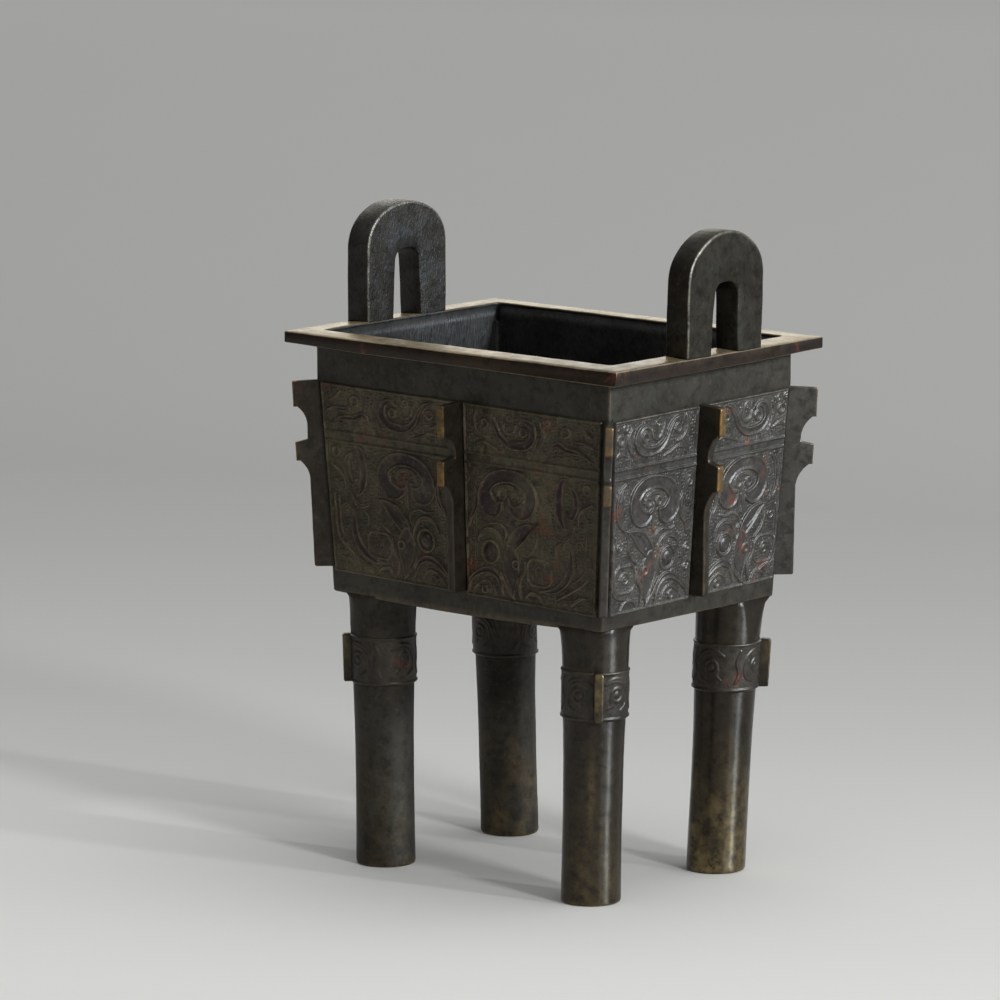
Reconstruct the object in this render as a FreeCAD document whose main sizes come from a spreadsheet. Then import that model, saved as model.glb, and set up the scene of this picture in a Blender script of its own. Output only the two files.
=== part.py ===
import FreeCAD, Part
import math
import os
import Sketcher

V = FreeCAD.Vector

# Driving dimensions in millimetres and degrees
SIZES = (
    ("leg_height", 96.8, "floor to the underside of the box"),
    ("body_height", 86.4, "box, from its lower edge to the underside of the rim"),
    ("neck_height", 12.2, "upright neck under the rim"),
    ("neck_length", 132.6, "box at its neck, along X"),
    ("neck_width", 97.4, "box at its neck, along Y"),
    ("batter_length", 5.1, "lean of the side walls: each lower edge lies this far inside the neck"),
    ("batter_width", 2.5, "lean of the front and back walls, in the same way"),
    ("wall", 2.0, "wall plate"),
    ("floor_thickness", 3.0, "floor plate"),
    ("front_sag", 1.3, "bow of the front wall's lower edge between the legs"),
    ("panel_proud", 0.7, "ornament panel over its wall"),
    ("panel_foot", 6.2, "plain band under the panels"),
    ("panel_head", 0.7, "from the neck down to the panels"),
    ("panel_clearance", 0.2, "seam between a panel and the flanges beside it"),
    ("ridge_drop", 17.6, "from the neck down to the line that parts the two friezes"),
    ("ridge_gap", 3.4, "between the two parting lines"),
    ("ridge_height", 0.9, "parting line"),
    ("ridge_proud", 0.45, "parting line over the panel"),
    ("relief_proud", 0.65, "main forms of the mask over the panel"),
    ("lip_reach_length", 7.7, "rim beyond the neck at its two ends"),
    ("lip_reach_width", 7.3, "rim beyond the neck at front and back"),
    ("lip_thickness", 5.2, "rim plate"),
    ("lip_fall", 0.45, "fall of the rim's top towards its edge"),
    ("lip_bevel", 0.4, "bevel along the rim's lower edge"),
    ("mouth_corner", 2.0, "corner radius of the mouth"),
    ("ear_width", 40.0, "ear"),
    ("ear_height", 41.6, "ear above the rim"),
    ("ear_corner", 14.0, "radius of the ear's shoulders"),
    ("ear_shoulder", 25.1, "height of the ear's upright sides"),
    ("slot_width", 14.0, "opening in the ear"),
    ("slot_height", 24.1, "opening in the ear"),
    ("slot_corner", 4.7, "radius of the opening's upper corners"),
    ("leg_inset_x", 12.1, "leg's axis from the box's side edge"),
    ("leg_inset_y", 11.5, "leg's axis from the box's front edge"),
    ("leg_splay_x", 1.26, "lean of the leg along X, degrees"),
    ("leg_splay_y", 0.9, "lean of the leg along Y, degrees"),
    ("leg_joint_radius", 11.5, "leg where it meets the box"),
    ("leg_collar_head_radius", 11.2, "leg at the top of its collar"),
    ("leg_collar_foot_radius", 10.7, "leg at the foot of its collar"),
    ("shank_radius", 10.2, "leg at its narrowest"),
    ("shank_rise", 30.0, "narrowest place above the floor"),
    ("foot_radius", 10.25, "leg at the floor"),
    ("foot_bevel", 0.7, "bevel round the foot"),
    ("collar_drop", 14.9, "from the box down to the collar"),
    ("collar_height", 17.1, "collar"),
    ("collar_radius", 11.8, "collar"),
    ("rib_reach", 14.7, "rib's edge from the leg's axis"),
    ("rib_thickness", 3.2, "rib"),
    ("rib_seam", 0.02, "solder seam between a rib and its collar"),
    ("flange_thickness", 3.2, "all flanges"),
    ("flange_drop", 66.8, "flange, from the neck down to its foot"),
    ("hook_fall", 1.1, "fall of a hook's top towards its tip"),
    ("hook_undercut", 0.4, "a hook's tip leans in by this at its foot"),
    ("hook_tip", 1.3, "flat at a hook's foot"),
    ("waist_drop", 19.0, "from the neck down to the upper waist"),
    ("lower_hook_drop", 19.7, "from the neck down to the lower hook"),
    ("corner_upper_reach", 9.1, "upper hook beyond the neck"),
    ("corner_waist", 3.3, "upper waist beyond the neck"),
    ("corner_lower_reach", 7.8, "lower hook beyond the neck"),
    ("corner_slab_head", 1.7, "top of the slab beyond the neck"),
    ("corner_slab_foot", 1.2, "foot of the slab beyond the neck"),
    ("corner_slab_drop", 36.5, "from the neck down to the slab"),
    ("corner_upper_bow", 9.3, "radius under the upper hook"),
    ("corner_lower_bow", 10.3, "radius under the lower hook"),
    ("side_upper_reach", 9.9, "upper hook beyond the neck"),
    ("side_waist", 4.3, "upper waist beyond the neck"),
    ("side_lower_reach", 8.7, "lower hook beyond the neck"),
    ("side_slab_head", 2.5, "top of the slab beyond the neck"),
    ("side_slab_foot", 2.35, "foot of the slab beyond the neck"),
    ("side_slab_drop", 40.5, "from the neck down to the slab"),
    ("side_upper_bow", 10.5, "radius under the upper hook"),
    ("side_lower_bow", 14.6, "radius under the lower hook"),
    ("front_upper_reach", 11.2, "upper hook beyond the neck"),
    ("front_waist", 4.4, "upper waist beyond the neck"),
    ("front_lower_reach", 10.7, "lower hook beyond the neck"),
    ("front_slab_head", 5.7, "top of the slab beyond the neck"),
    ("front_slab_foot", 5.0, "foot of the slab beyond the neck"),
    ("front_slab_drop", 36.5, "from the neck down to the slab"),
    ("front_upper_bow", 7.4, "radius under the upper hook"),
    ("front_lower_bow", 10.0, "radius under the lower hook"),
    ("overrun", 1.0, "how far a blank runs past the cut that trims it"),
)

doc = FreeCAD.newDocument("RitualVessel")
sheet = doc.addObject("Spreadsheet::Sheet", "Sizes")
for row, (name, number, meaning) in enumerate(SIZES, 1):
    sheet.set(f"A{row}", name)
    sheet.set(f"B{row}", str(number))
    sheet.setAlias(f"B{row}", name)
    sheet.set(f"C{row}", meaning)
doc.recompute()

# Heights and half sizes worked out from the sheet
TAPER = "(Sizes.body_height - Sizes.neck_height)"
SHOULDER = f"(Sizes.leg_height + {TAPER})"
RIM_FOOT = "(Sizes.leg_height + Sizes.body_height)"
RIM_TOP = f"({RIM_FOOT} + Sizes.lip_thickness)"
MOUTH_X = "(Sizes.neck_length / 2 - Sizes.wall)"
MOUTH_Y = "(Sizes.neck_width / 2 - Sizes.wall)"
RIM_X = "(Sizes.neck_length / 2 + Sizes.lip_reach_length)"
RIM_Y = "(Sizes.neck_width / 2 + Sizes.lip_reach_width)"
BASE_X = "(Sizes.neck_length / 2 - Sizes.batter_length)"
BASE_Y = "(Sizes.neck_width / 2 - Sizes.batter_width)"
PANEL_FOOT = "Sizes.panel_foot"
PANEL_HEAD = f"({TAPER} - Sizes.panel_head)"
PANEL_GAP = "(Sizes.flange_thickness / 2 + Sizes.panel_clearance)"
PANEL_MARGIN = "(Sizes.flange_thickness / sqrt(2) + Sizes.panel_clearance)"
RELIEF = "Sizes.panel_proud / 2 + Sizes.relief_proud"
LOWER_FRIEZE = f"({TAPER} - Sizes.ridge_drop - Sizes.ridge_gap - Sizes.ridge_height - Sizes.panel_foot)"
UPPER_FRIEZE = "(Sizes.ridge_drop - Sizes.panel_head)"

# The mask: where its middle lies along half a panel, then the corners of its forms from that
# middle and the frieze's foot, as shares of the frieze's height
middle_shares = {"length": 0.397, "width": 0.539}
eye_shares = (-0.2, 0.362, 0.088)
mask_shares = {
    "horn": ((-0.075, 0.618), (-0.155, 0.62), (-0.225, 0.68), (-0.26, 0.77), (-0.25, 0.87), (-0.195, 0.95),
     (-0.1, 0.99), (0.1, 0.99), (0.19, 0.955), (0.25, 0.875), (0.265, 0.78), (0.235, 0.69), (0.16, 0.62),
     (0.08, 0.618), (0.07, 0.68), (0.13, 0.715), (0.16, 0.78), (0.14, 0.85), (0.08, 0.892),
     (-0.08, 0.892), (-0.14, 0.85), (-0.16, 0.78), (-0.135, 0.715), (-0.07, 0.68)),
    "jaw": ((-0.47, 0.05), (-0.41, 0.13), (-0.32, 0.2), (-0.22, 0.23), (-0.13, 0.205), (-0.05, 0.13), (0, 0.045),
     (-0.055, 0.045), (-0.1, 0.11), (-0.155, 0.155), (-0.22, 0.165), (-0.3, 0.145), (-0.37, 0.095),
     (-0.405, 0.05)),
    "snout": ((-0.07, 0.39), (0.1, 0.35), (0.075, 0.14), (0.03, 0.03), (0.015, 0.03), (-0.03, 0.14)),
    "cheek": ((0.235, 0.39), (0.34, 0.39), (0.395, 0.33), (0.395, 0.215), (0.34, 0.155), (0.235, 0.155),
              (0.175, 0.215), (0.175, 0.33)),
}
plume_shares = ((0.385, 0.67), (0.455, 0.67), (0.47, 0.9), (0.58, 0.94), (0.56, 0.99), (0.43, 0.985),
                (0.385, 0.93))
curl_shares = ((0.16, 0.78), (0.3, 0.8), (0.42, 0.78), (0.54, 0.7), (0.62, 0.5), (0.55, 0.28), (0.38, 0.14),
               (0.1, 0.12), (-0.15, 0.17), (-0.4, 0.35), (-0.75, 0.84), (-0.6, 0.95), (-0.28, 0.53),
               (-0.05, 0.36), (0.12, 0.32), (0.32, 0.34), (0.42, 0.5), (0.36, 0.62), (0.18, 0.66))

parts = []


def size(expression):
    """The value of an expression of sheet sizes."""
    return float(sheet.evalExpression(expression))


def half(side, rise):
    """Half the box's length or width at a rise above its lower edge, up to the neck."""
    return f"(Sizes.neck_{side} / 2 - Sizes.batter_{side} * (1 - {rise} / {TAPER}))"


def finish(feature, node):
    """Name a sub-part and put it on the list of those written out."""
    feature.Label = node
    parts.append(feature)
    return feature


def sketch_on(body, role, name, lift=None):
    """A sketch on one of the body's own planes, lifted off it by an expression."""
    sketch = body.newObject("Sketcher::SketchObject", name)
    plane = [face for face in body.Origin.OriginFeatures if face.Role == role][0]
    sketch.AttachmentSupport = [(plane, "")]
    sketch.MapMode = "FlatFace"
    if lift:
        sketch.setExpression("AttachmentOffset.Base.z", lift)
    return sketch


def arc_between(start, end, radius, side):
    """The short arc from start to end; its centre is to the left for side 1, right for -1."""
    chord = end - start
    left = V(-chord.y, chord.x, 0).normalize()
    depth = math.sqrt(radius ** 2 - (chord.Length / 2) ** 2)
    centre = (start + end) / 2 + left * (side * depth)
    angles = [math.atan2(point.y - centre.y, point.x - centre.x) for point in (start, end)]
    if side < 0:
        angles.reverse()
    return Part.ArcOfCircle(Part.Circle(centre, V(0, 0, 1), radius), *angles)


def pin(sketch, kind, *where):
    """Add a dimension whose last argument is an expression, and bind it to that."""
    expression = where[-1]
    index = sketch.addConstraint(Sketcher.Constraint(kind, *where[:-1], size(expression)))
    sketch.setExpression(f"Constraints[{index}]", expression)


def outline(sketch, *corners):
    """Close an outline through corners (x, y); (x, y, radius, side) starts an arc."""
    points = [V(size(corner[0]), size(corner[1]), 0) for corner in corners]
    ends = []
    first = sketch.GeometryCount
    for index, corner in enumerate(corners):
        start = points[index]
        end = points[(index + 1) % len(points)]
        if len(corner) == 2:
            sketch.addGeometry(Part.LineSegment(start, end), False)
            ends.append((1, 2))
        else:
            sketch.addGeometry(arc_between(start, end, size(corner[2]), corner[3]), False)
            ends.append((1, 2) if corner[3] > 0 else (2, 1))
    for index, corner in enumerate(corners):
        edge = first + index
        after = (index + 1) % len(corners)
        sketch.addConstraint(
            Sketcher.Constraint("Coincident", edge, ends[index][1], first + after, ends[after][0]))
        pin(sketch, "DistanceX", -1, 1, edge, ends[index][0], corner[0])
        pin(sketch, "DistanceY", -1, 1, edge, ends[index][0], corner[1])
        if len(corner) > 2:
            pin(sketch, "Radius", edge, corner[2])


def rectangle(sketch, x, y):
    """A rectangle about the origin with half sizes x and y."""
    outline(sketch, (f"-{x}", f"-{y}"), (x, f"-{y}"), (x, y), (f"-{x}", y))


def disc(sketch, x, y, radius):
    """A circle with its centre at x, y."""
    circle = sketch.addGeometry(Part.Circle(V(size(x), size(y), 0), V(0, 0, 1), size(radius)), False)
    pin(sketch, "DistanceX", -1, 1, circle, 3, x)
    pin(sketch, "DistanceY", -1, 1, circle, 3, y)
    pin(sketch, "Radius", circle, radius)


def pad(body, name, sketch, length, midplane=False, inward=False):
    """A straight pad of the sketch."""
    feature = body.newObject("PartDesign::Pad", name)
    feature.Profile = sketch
    feature.setExpression("Length", length)
    feature.Midplane = midplane
    feature.Reversed = inward
    return feature


def ruled_loft(body, name, lower, *upper):
    """A straight-sided loft through two or more sketches."""
    feature = body.newObject("PartDesign::AdditiveLoft", name)
    feature.Profile = lower
    feature.Sections = list(upper)
    feature.Ruled = True
    return feature


def boolean(kind, name, base, tool):
    """A Part cut or common of two objects."""
    feature = doc.addObject(f"Part::{kind}", name)
    feature.Base = base
    feature.Tool = tool
    return feature


# Walls

def mitred(sketch, length, width):
    """A wall plate's plan: its ends are cut on the diagonal of the box's corners."""
    inner_x = f"({length} - Sizes.wall)"
    inner_y = f"({width} - Sizes.wall)"
    outline(sketch, (f"-{length}", f"-{width}"), (length, f"-{width}"),
            (inner_x, f"-{inner_y}"), (f"-{inner_x}", f"-{inner_y}"))


def band(body, name, length, width, side, foot, head, proud):
    """A raised strip on one half of a wall, from the mid flange to the corner flange."""
    rails = []
    for end, rise in (("foot", foot), ("head", head)):
        sketch = sketch_on(body, "XY_Plane", f"{name}_{end}", f"Sizes.leg_height + {rise}")
        near = PANEL_GAP
        far = f"({half(length, rise)} - {PANEL_MARGIN})"
        back = f"({half(width, rise)} - Sizes.wall / 2)"
        front = f"({half(width, rise)} + {proud})"
        outline(sketch, (f"{side} * {near}", f"-{front}"), (f"{side} * {far}", f"-{front}"),
                (f"{side} * {far}", f"-{back}"), (f"{side} * {near}", f"-{back}"))
        rails.append(sketch)
    ruled_loft(body, name, *rails)


def relief(body, name, width):
    """A sketch on the panels of a wall; it leans with them and lies just under their face."""
    sketch = sketch_on(body, "XZ_Plane", name, f"{half(width, '0')} + Sizes.panel_proud / 2")
    lean = f"atan(Sizes.batter_{width} / {TAPER})"
    sketch.AttachmentOffset = FreeCAD.Placement(V(0, 0, 0), FreeCAD.Rotation(V(1, 0, 0), size(lean)))
    sketch.setExpression("AttachmentOffset.Base.y", "Sizes.leg_height")
    sketch.setExpression("AttachmentOffset.Rotation.Angle", lean)
    return sketch


def mask(body, node, length, width):
    """The main raised forms of the mask and of the dragon over it, drawn on one half and mirrored."""
    run = f"({half(length, '0')} - {PANEL_MARGIN} - {PANEL_GAP})"
    middle = f"({PANEL_GAP} + {middle_shares[length]} * {run})"
    forms = [(name, PANEL_FOOT, LOWER_FRIEZE, form) for name, form in mask_shares.items()]
    if length == "length":
        forms.append(("plume", PANEL_FOOT, LOWER_FRIEZE, plume_shares))
    forms.append(("curl", f"({TAPER} - Sizes.ridge_drop)", UPPER_FRIEZE, curl_shares))
    pads = []
    for name, foot, unit, form in forms:
        sketch = relief(body, f"{node}_{name}", width)
        outline(sketch, *[(f"{middle} + {across} * {unit}", f"{foot} + {up} * {unit}") for across, up in form])
        pads.append(pad(body, f"{node}_{name}_relief", sketch, RELIEF))
    sketch = relief(body, f"{node}_eye", width)
    across, up, radius = eye_shares
    disc(sketch, f"{middle} + {across} * {LOWER_FRIEZE}", f"{PANEL_FOOT} + {up} * {LOWER_FRIEZE}",
         f"{radius} * {LOWER_FRIEZE}")
    pads.append(pad(body, f"{node}_eye_relief", sketch, RELIEF))
    mirrored = body.newObject("PartDesign::Mirrored", f"{node}_other_half")
    mirrored.Originals = pads
    mirrored.MirrorPlane = ([face for face in body.Origin.OriginFeatures if face.Role == "YZ_Plane"][0], [""])
    body.Tip = mirrored


def wall(node, length, width, turn):
    """One side of the box with its neck, two ornament panels and their parting lines."""
    body = doc.addObject("PartDesign::Body", node)
    foot = sketch_on(body, "XY_Plane", f"{node}_foot", "Sizes.leg_height")
    mitred(foot, half(length, "0"), half(width, "0"))
    shoulder = sketch_on(body, "XY_Plane", f"{node}_shoulder", SHOULDER)
    mitred(shoulder, half(length, TAPER), half(width, TAPER))
    ruled_loft(body, f"{node}_taper", foot, shoulder)
    neck = sketch_on(body, "XY_Plane", f"{node}_neck_plan", SHOULDER)
    mitred(neck, half(length, TAPER), half(width, TAPER))
    pad(body, f"{node}_neck", neck, "Sizes.neck_height")
    ridge_proud = "Sizes.panel_proud + Sizes.ridge_proud"
    for side, word in ((-1, "near"), (1, "far")):
        band(body, f"{node}_panel_{word}", length, width, side, PANEL_FOOT, PANEL_HEAD,
             "Sizes.panel_proud")
        for line, drop in (("upper", "Sizes.ridge_drop"), ("lower", "Sizes.ridge_drop + Sizes.ridge_gap")):
            head = f"({TAPER} - ({drop}))"
            foot_rise = f"({head} - Sizes.ridge_height)"
            band(body, f"{node}_{line}_line_{word}", length, width, side, foot_rise, head, ridge_proud)
    mask(body, node, length, width)
    body.Placement = FreeCAD.Placement(V(0, 0, 0), FreeCAD.Rotation(V(0, 0, 1), turn))
    return finish(body, node)


def sag(body):
    """The lower edge of the front wall bows down a little between the legs."""
    reach = f"({BASE_X} - 2 * Sizes.leg_inset_x)"
    radius = f"(({reach} ^ 2 + Sizes.front_sag ^ 2) / (2 * Sizes.front_sag))"
    sketch = sketch_on(body, "XZ_Plane", "sag_outline", BASE_Y)
    outline(sketch, (f"-{reach}", "Sizes.leg_height"), (reach, "Sizes.leg_height", radius, -1))
    pad(body, "sag", sketch, "Sizes.wall", inward=True)


wall_front = wall("wall_front", "length", "width", 0)
sag(wall_front)
wall("wall_right", "width", "length", 90)
wall("wall_back", "length", "width", 180)
wall("wall_left", "width", "length", 270)


# Floor plate, let in between the walls

def floor_plate():
    body = doc.addObject("PartDesign::Body", "floor_plate")
    levels = []
    for name, rise in (("floor_underside", "0"), ("floor_top", "Sizes.floor_thickness")):
        sketch = sketch_on(body, "XY_Plane", name, f"Sizes.leg_height + {rise}")
        rectangle(sketch, f"({half('length', rise)} - Sizes.wall)", f"({half('width', rise)} - Sizes.wall)")
        levels.append(sketch)
    ruled_loft(body, "floor_loft", *levels)
    return finish(body, "floor_plate")


floor_plate()


# Rim: a flat lip whose top falls outward and whose lower edge is bevelled

def rim_frame():
    body = doc.addObject("PartDesign::Body", "rim_frame")
    levels = (
        ("underside", RIM_FOOT, f"({RIM_X} - Sizes.lip_bevel)", f"({RIM_Y} - Sizes.lip_bevel)"),
        ("bevel_head", f"{RIM_FOOT} + Sizes.lip_bevel", RIM_X, RIM_Y),
        ("edge_head", f"{RIM_TOP} - Sizes.lip_fall", RIM_X, RIM_Y),
        ("crown", RIM_TOP, MOUTH_X, MOUTH_Y),
    )
    sketches = []
    for name, lift, x, y in levels:
        sketch = sketch_on(body, "XY_Plane", f"rim_{name}", lift)
        rectangle(sketch, x, y)
        sketches.append(sketch)
    for name, lower, upper in zip(("bevel", "edge", "slope"), sketches, sketches[1:]):
        ruled_loft(body, f"rim_{name}", lower, upper)
    mouth = sketch_on(body, "XY_Plane", "rim_mouth_plan", RIM_TOP)
    x, y, r = MOUTH_X, MOUTH_Y, "Sizes.mouth_corner"
    outline(mouth, (f"-{x} + {r}", f"-{y}"), (f"{x} - {r}", f"-{y}", r, 1), (x, f"-{y} + {r}"),
            (x, f"{y} - {r}", r, 1), (f"{x} - {r}", y), (f"-{x} + {r}", y, r, 1),
            (f"-{x}", f"{y} - {r}"), (f"-{x}", f"-{y} + {r}", r, 1))
    doc.recompute()
    solid_volume = body.Shape.Volume
    pocket = body.newObject("PartDesign::Pocket", "rim_mouth")
    pocket.Profile = mouth
    pocket.setExpression("Length", "Sizes.lip_thickness + Sizes.overrun")
    doc.recompute()
    if body.Shape.Volume >= solid_volume:
        raise RuntimeError("the mouth cuts nothing out of the rim")
    return finish(body, "rim_frame")


rim = rim_frame()


# Ears: upright loops with a three-centre arch, standing on the rim's short sides

def ear_blank(name):
    """An ear before its foot is fitted to the slope of the rim."""
    body = doc.addObject("PartDesign::Body", name)
    sketch = sketch_on(body, "YZ_Plane", f"{name}_outline", MOUTH_X)
    w = "(Sizes.ear_width / 2)"
    foot = f"({RIM_FOOT} + Sizes.lip_bevel)"
    rise = "(Sizes.ear_height - Sizes.ear_shoulder)"
    flank = f"({w} - Sizes.ear_corner)"
    crown = f"(({rise} ^ 2 + {flank} ^ 2 - Sizes.ear_corner ^ 2) / (2 * ({rise} - Sizes.ear_corner)))"
    spring = f"({RIM_TOP} + Sizes.ear_shoulder)"
    centre = f"({RIM_TOP} + Sizes.ear_height - {crown})"
    share = f"({crown} / ({crown} - Sizes.ear_corner))"
    meet_y = f"({flank} * {share})"
    meet_z = f"({centre} + ({spring} - {centre}) * {share})"
    s = "(Sizes.slot_width / 2)"
    slot_top = f"({RIM_TOP} + Sizes.slot_height)"
    c = "Sizes.slot_corner"
    outline(sketch,
            (f"-{w}", foot), (f"-{s}", foot), (f"-{s}", f"{slot_top} - {c}", c, -1),
            (f"-{s} + {c}", slot_top), (f"{s} - {c}", slot_top, c, -1), (s, f"{slot_top} - {c}"),
            (s, foot), (w, foot), (w, spring, "Sizes.ear_corner", 1), (meet_y, meet_z, crown, 1),
            (f"-{meet_y}", meet_z, "Sizes.ear_corner", 1), (f"-{w}", spring))
    pad(body, f"{name}_plate", sketch, f"{RIM_X} - {MOUTH_X}")
    return body


for node, turn in (("ear_right", 0), ("ear_left", 180)):
    blank = ear_blank(f"{node}_blank")
    blank.Placement = FreeCAD.Placement(V(0, 0, 0), FreeCAD.Rotation(V(0, 0, 1), turn))
    finish(boolean("Cut", node, blank, rim), node)


# Legs, each with a collar and a rib on the collar's outer diagonal

CORNERS = (("front_left", -1, -1), ("front_right", 1, -1), ("back_right", 1, 1), ("back_left", -1, 1))
COLLAR_TOP = "Sizes.collar_drop"
COLLAR_FOOT = "(Sizes.collar_drop + Sizes.collar_height)"

def round_loft(node, x_sign, y_sign, *levels):
    """A straight-sided loft through level circles on a leg's axis; a second radius makes it hollow."""
    body = doc.addObject("PartDesign::Body", node)
    sketches = []
    for index, (drop, *radii) in enumerate(levels):
        sketch = sketch_on(body, "XY_Plane", f"{node}_level_{index}", f"Sizes.leg_height - {drop}")
        for radius in radii:
            disc(sketch, f"{x_sign} * ({BASE_X} - Sizes.leg_inset_x - {drop} * tan(Sizes.leg_splay_x))",
                 f"{y_sign} * ({BASE_Y} - Sizes.leg_inset_y - {drop} * tan(Sizes.leg_splay_y))", radius)
        sketches.append(sketch)
    ruled_loft(body, f"{node}_loft", *sketches)
    return finish(body, node)


def rib(node, x_sign, y_sign):
    """A small upright plate on the collar's outer diagonal; its edge leans with the leg."""
    body = doc.addObject("PartDesign::Body", f"{node}_blank")
    sketch = sketch_on(body, "XZ_Plane", f"{node}_outline")
    lean = "((tan(Sizes.leg_splay_x) + tan(Sizes.leg_splay_y)) / sqrt(2))"
    root = "(Sizes.collar_radius - Sizes.rib_thickness / 2)"
    outline(sketch, (f"{root} - {COLLAR_FOOT} * {lean}", f"-{COLLAR_FOOT}"),
            (f"Sizes.rib_reach - {COLLAR_FOOT} * {lean}", f"-{COLLAR_FOOT}"),
            (f"Sizes.rib_reach - {COLLAR_TOP} * {lean}", f"-{COLLAR_TOP}"),
            (f"{root} - {COLLAR_TOP} * {lean}", f"-{COLLAR_TOP}"))
    pad(body, f"{node}_plate", sketch, "Sizes.rib_thickness", midplane=True)
    joint = V(x_sign * size(f"{BASE_X} - Sizes.leg_inset_x"), y_sign * size(f"{BASE_Y} - Sizes.leg_inset_y"),
              size("Sizes.leg_height"))
    corner = math.degrees(math.atan2(y_sign, x_sign))
    body.Placement = FreeCAD.Placement(joint, FreeCAD.Rotation(V(0, 0, 1), corner))
    seat = doc.addObject("Part::Cylinder", f"{node}_seat")
    seat.setExpression("Radius", "Sizes.collar_radius + Sizes.rib_seam")
    seat.setExpression("Height", "Sizes.leg_height")
    axis = V(x_sign * size("tan(Sizes.leg_splay_x)"), y_sign * size("tan(Sizes.leg_splay_y)"), 1)
    seat.Placement = FreeCAD.Placement(joint - axis * size("Sizes.leg_height"),
                                       FreeCAD.Rotation(V(0, 0, 1), axis))
    return finish(boolean("Cut", node, body, seat), node)


for corner_name, x_sign, y_sign in CORNERS:
    round_loft(f"leg_{corner_name}", x_sign, y_sign,
               ("Sizes.leg_height", "(Sizes.foot_radius - Sizes.foot_bevel)"),
               ("(Sizes.leg_height - Sizes.foot_bevel)", "Sizes.foot_radius"),
               ("(Sizes.leg_height - Sizes.shank_rise)", "Sizes.shank_radius"),
               (COLLAR_FOOT, "Sizes.leg_collar_foot_radius"),
               (COLLAR_TOP, "Sizes.leg_collar_head_radius"), ("0", "Sizes.leg_joint_radius"))
    round_loft(f"collar_{corner_name}", x_sign, y_sign,
               (COLLAR_FOOT, "Sizes.collar_radius", "Sizes.leg_collar_foot_radius"),
               (COLLAR_TOP, "Sizes.collar_radius", "Sizes.leg_collar_head_radius"))
    rib(f"rib_{corner_name}", x_sign, y_sign)


# Flanges: hooked plates, fitted to the box by cutting its envelope out of them

def box_envelope():
    """The box without its panels, solid through."""
    body = doc.addObject("PartDesign::Body", "box_envelope")
    foot = sketch_on(body, "XY_Plane", "envelope_foot", "Sizes.leg_height")
    rectangle(foot, half("length", "0"), half("width", "0"))
    shoulder = sketch_on(body, "XY_Plane", "envelope_shoulder", SHOULDER)
    rectangle(shoulder, half("length", TAPER), half("width", TAPER))
    ruled_loft(body, "envelope_taper", foot, shoulder)
    neck = sketch_on(body, "XY_Plane", "envelope_neck_plan", SHOULDER)
    rectangle(neck, half("length", TAPER), half("width", TAPER))
    pad(body, "envelope_neck", neck, "Sizes.neck_height")
    return body


def flange(node, kind, place, envelope):
    """Two hooks with bowed undersides over a plain slab, drawn outward from the neck."""
    root = "(-2 * Sizes.batter_length - Sizes.wall)"
    bow_ends = []
    for reach, inner, bow, drop in (
            (f"Sizes.{kind}_upper_reach", f"Sizes.{kind}_waist", f"Sizes.{kind}_upper_bow", "Sizes.waist_drop"),
            (f"Sizes.{kind}_lower_reach", f"Sizes.{kind}_slab_head", f"Sizes.{kind}_lower_bow",
             f"Sizes.{kind}_slab_drop")):
        tip = f"({reach} - Sizes.hook_undercut)"
        start = f"({tip} - Sizes.hook_tip)"
        run = f"({start} - {inner})"
        rise = f"sqrt(2 * {bow} * {run} - {run} ^ 2)"
        bow_ends.append((tip, start, f"({rise} - {drop})"))
    (upper_tip, upper_start, upper_foot), (lower_tip, lower_start, lower_foot) = bow_ends
    body = doc.addObject("PartDesign::Body", f"{node}_blank")
    sketch = sketch_on(body, "XZ_Plane", f"{node}_outline")
    outline(sketch, (root, "0"), (f"Sizes.{kind}_upper_reach", "-Sizes.hook_fall"),
            (upper_tip, upper_foot), (upper_start, upper_foot, f"Sizes.{kind}_upper_bow", 1),
            (f"Sizes.{kind}_waist", "-Sizes.waist_drop"), (f"Sizes.{kind}_waist", "-Sizes.lower_hook_drop"),
            (f"Sizes.{kind}_lower_reach", "-Sizes.lower_hook_drop - Sizes.hook_fall"),
            (lower_tip, lower_foot), (lower_start, lower_foot, f"Sizes.{kind}_lower_bow", 1),
            (f"Sizes.{kind}_slab_head", f"-Sizes.{kind}_slab_drop"),
            (f"Sizes.{kind}_slab_foot", "-Sizes.flange_drop"), (root, "-Sizes.flange_drop"))
    pad(body, f"{node}_plate", sketch, "Sizes.flange_thickness", midplane=True)
    body.Placement = place
    return finish(boolean("Cut", node, body, envelope), node)


def frame_of(origin, outward, edge):
    """A frame with X outward and Z as near as can be to the edge that a flange follows."""
    x = V(outward).normalize()
    y = edge.cross(x).normalize()
    return FreeCAD.Placement(origin, FreeCAD.Rotation(x, y, x.cross(y), "XYZ"))


envelope = box_envelope()
neck_x = size("Sizes.neck_length / 2")
neck_y = size("Sizes.neck_width / 2")
shoulder_z = size(SHOULDER)
lean_x = size("Sizes.batter_length")
lean_y = size("Sizes.batter_width")
taper_height = size(TAPER)

for corner_name, x_sign, y_sign in CORNERS:
    place = frame_of(V(x_sign * neck_x, y_sign * neck_y, shoulder_z), V(x_sign, y_sign, 0),
                     V(x_sign * lean_x, y_sign * lean_y, taper_height))
    flange(f"corner_flange_{corner_name}", "corner", place, envelope)

for node, kind, x_sign, y_sign in (
        ("mid_flange_front", "front", 0, -1), ("mid_flange_back", "front", 0, 1),
        ("mid_flange_right", "side", 1, 0), ("mid_flange_left", "side", -1, 0)):
    place = frame_of(V(x_sign * neck_x, y_sign * neck_y, shoulder_z), V(x_sign, y_sign, 0), V(0, 0, 1))
    flange(node, kind, place, envelope)


# Recompute, check and write

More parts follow.
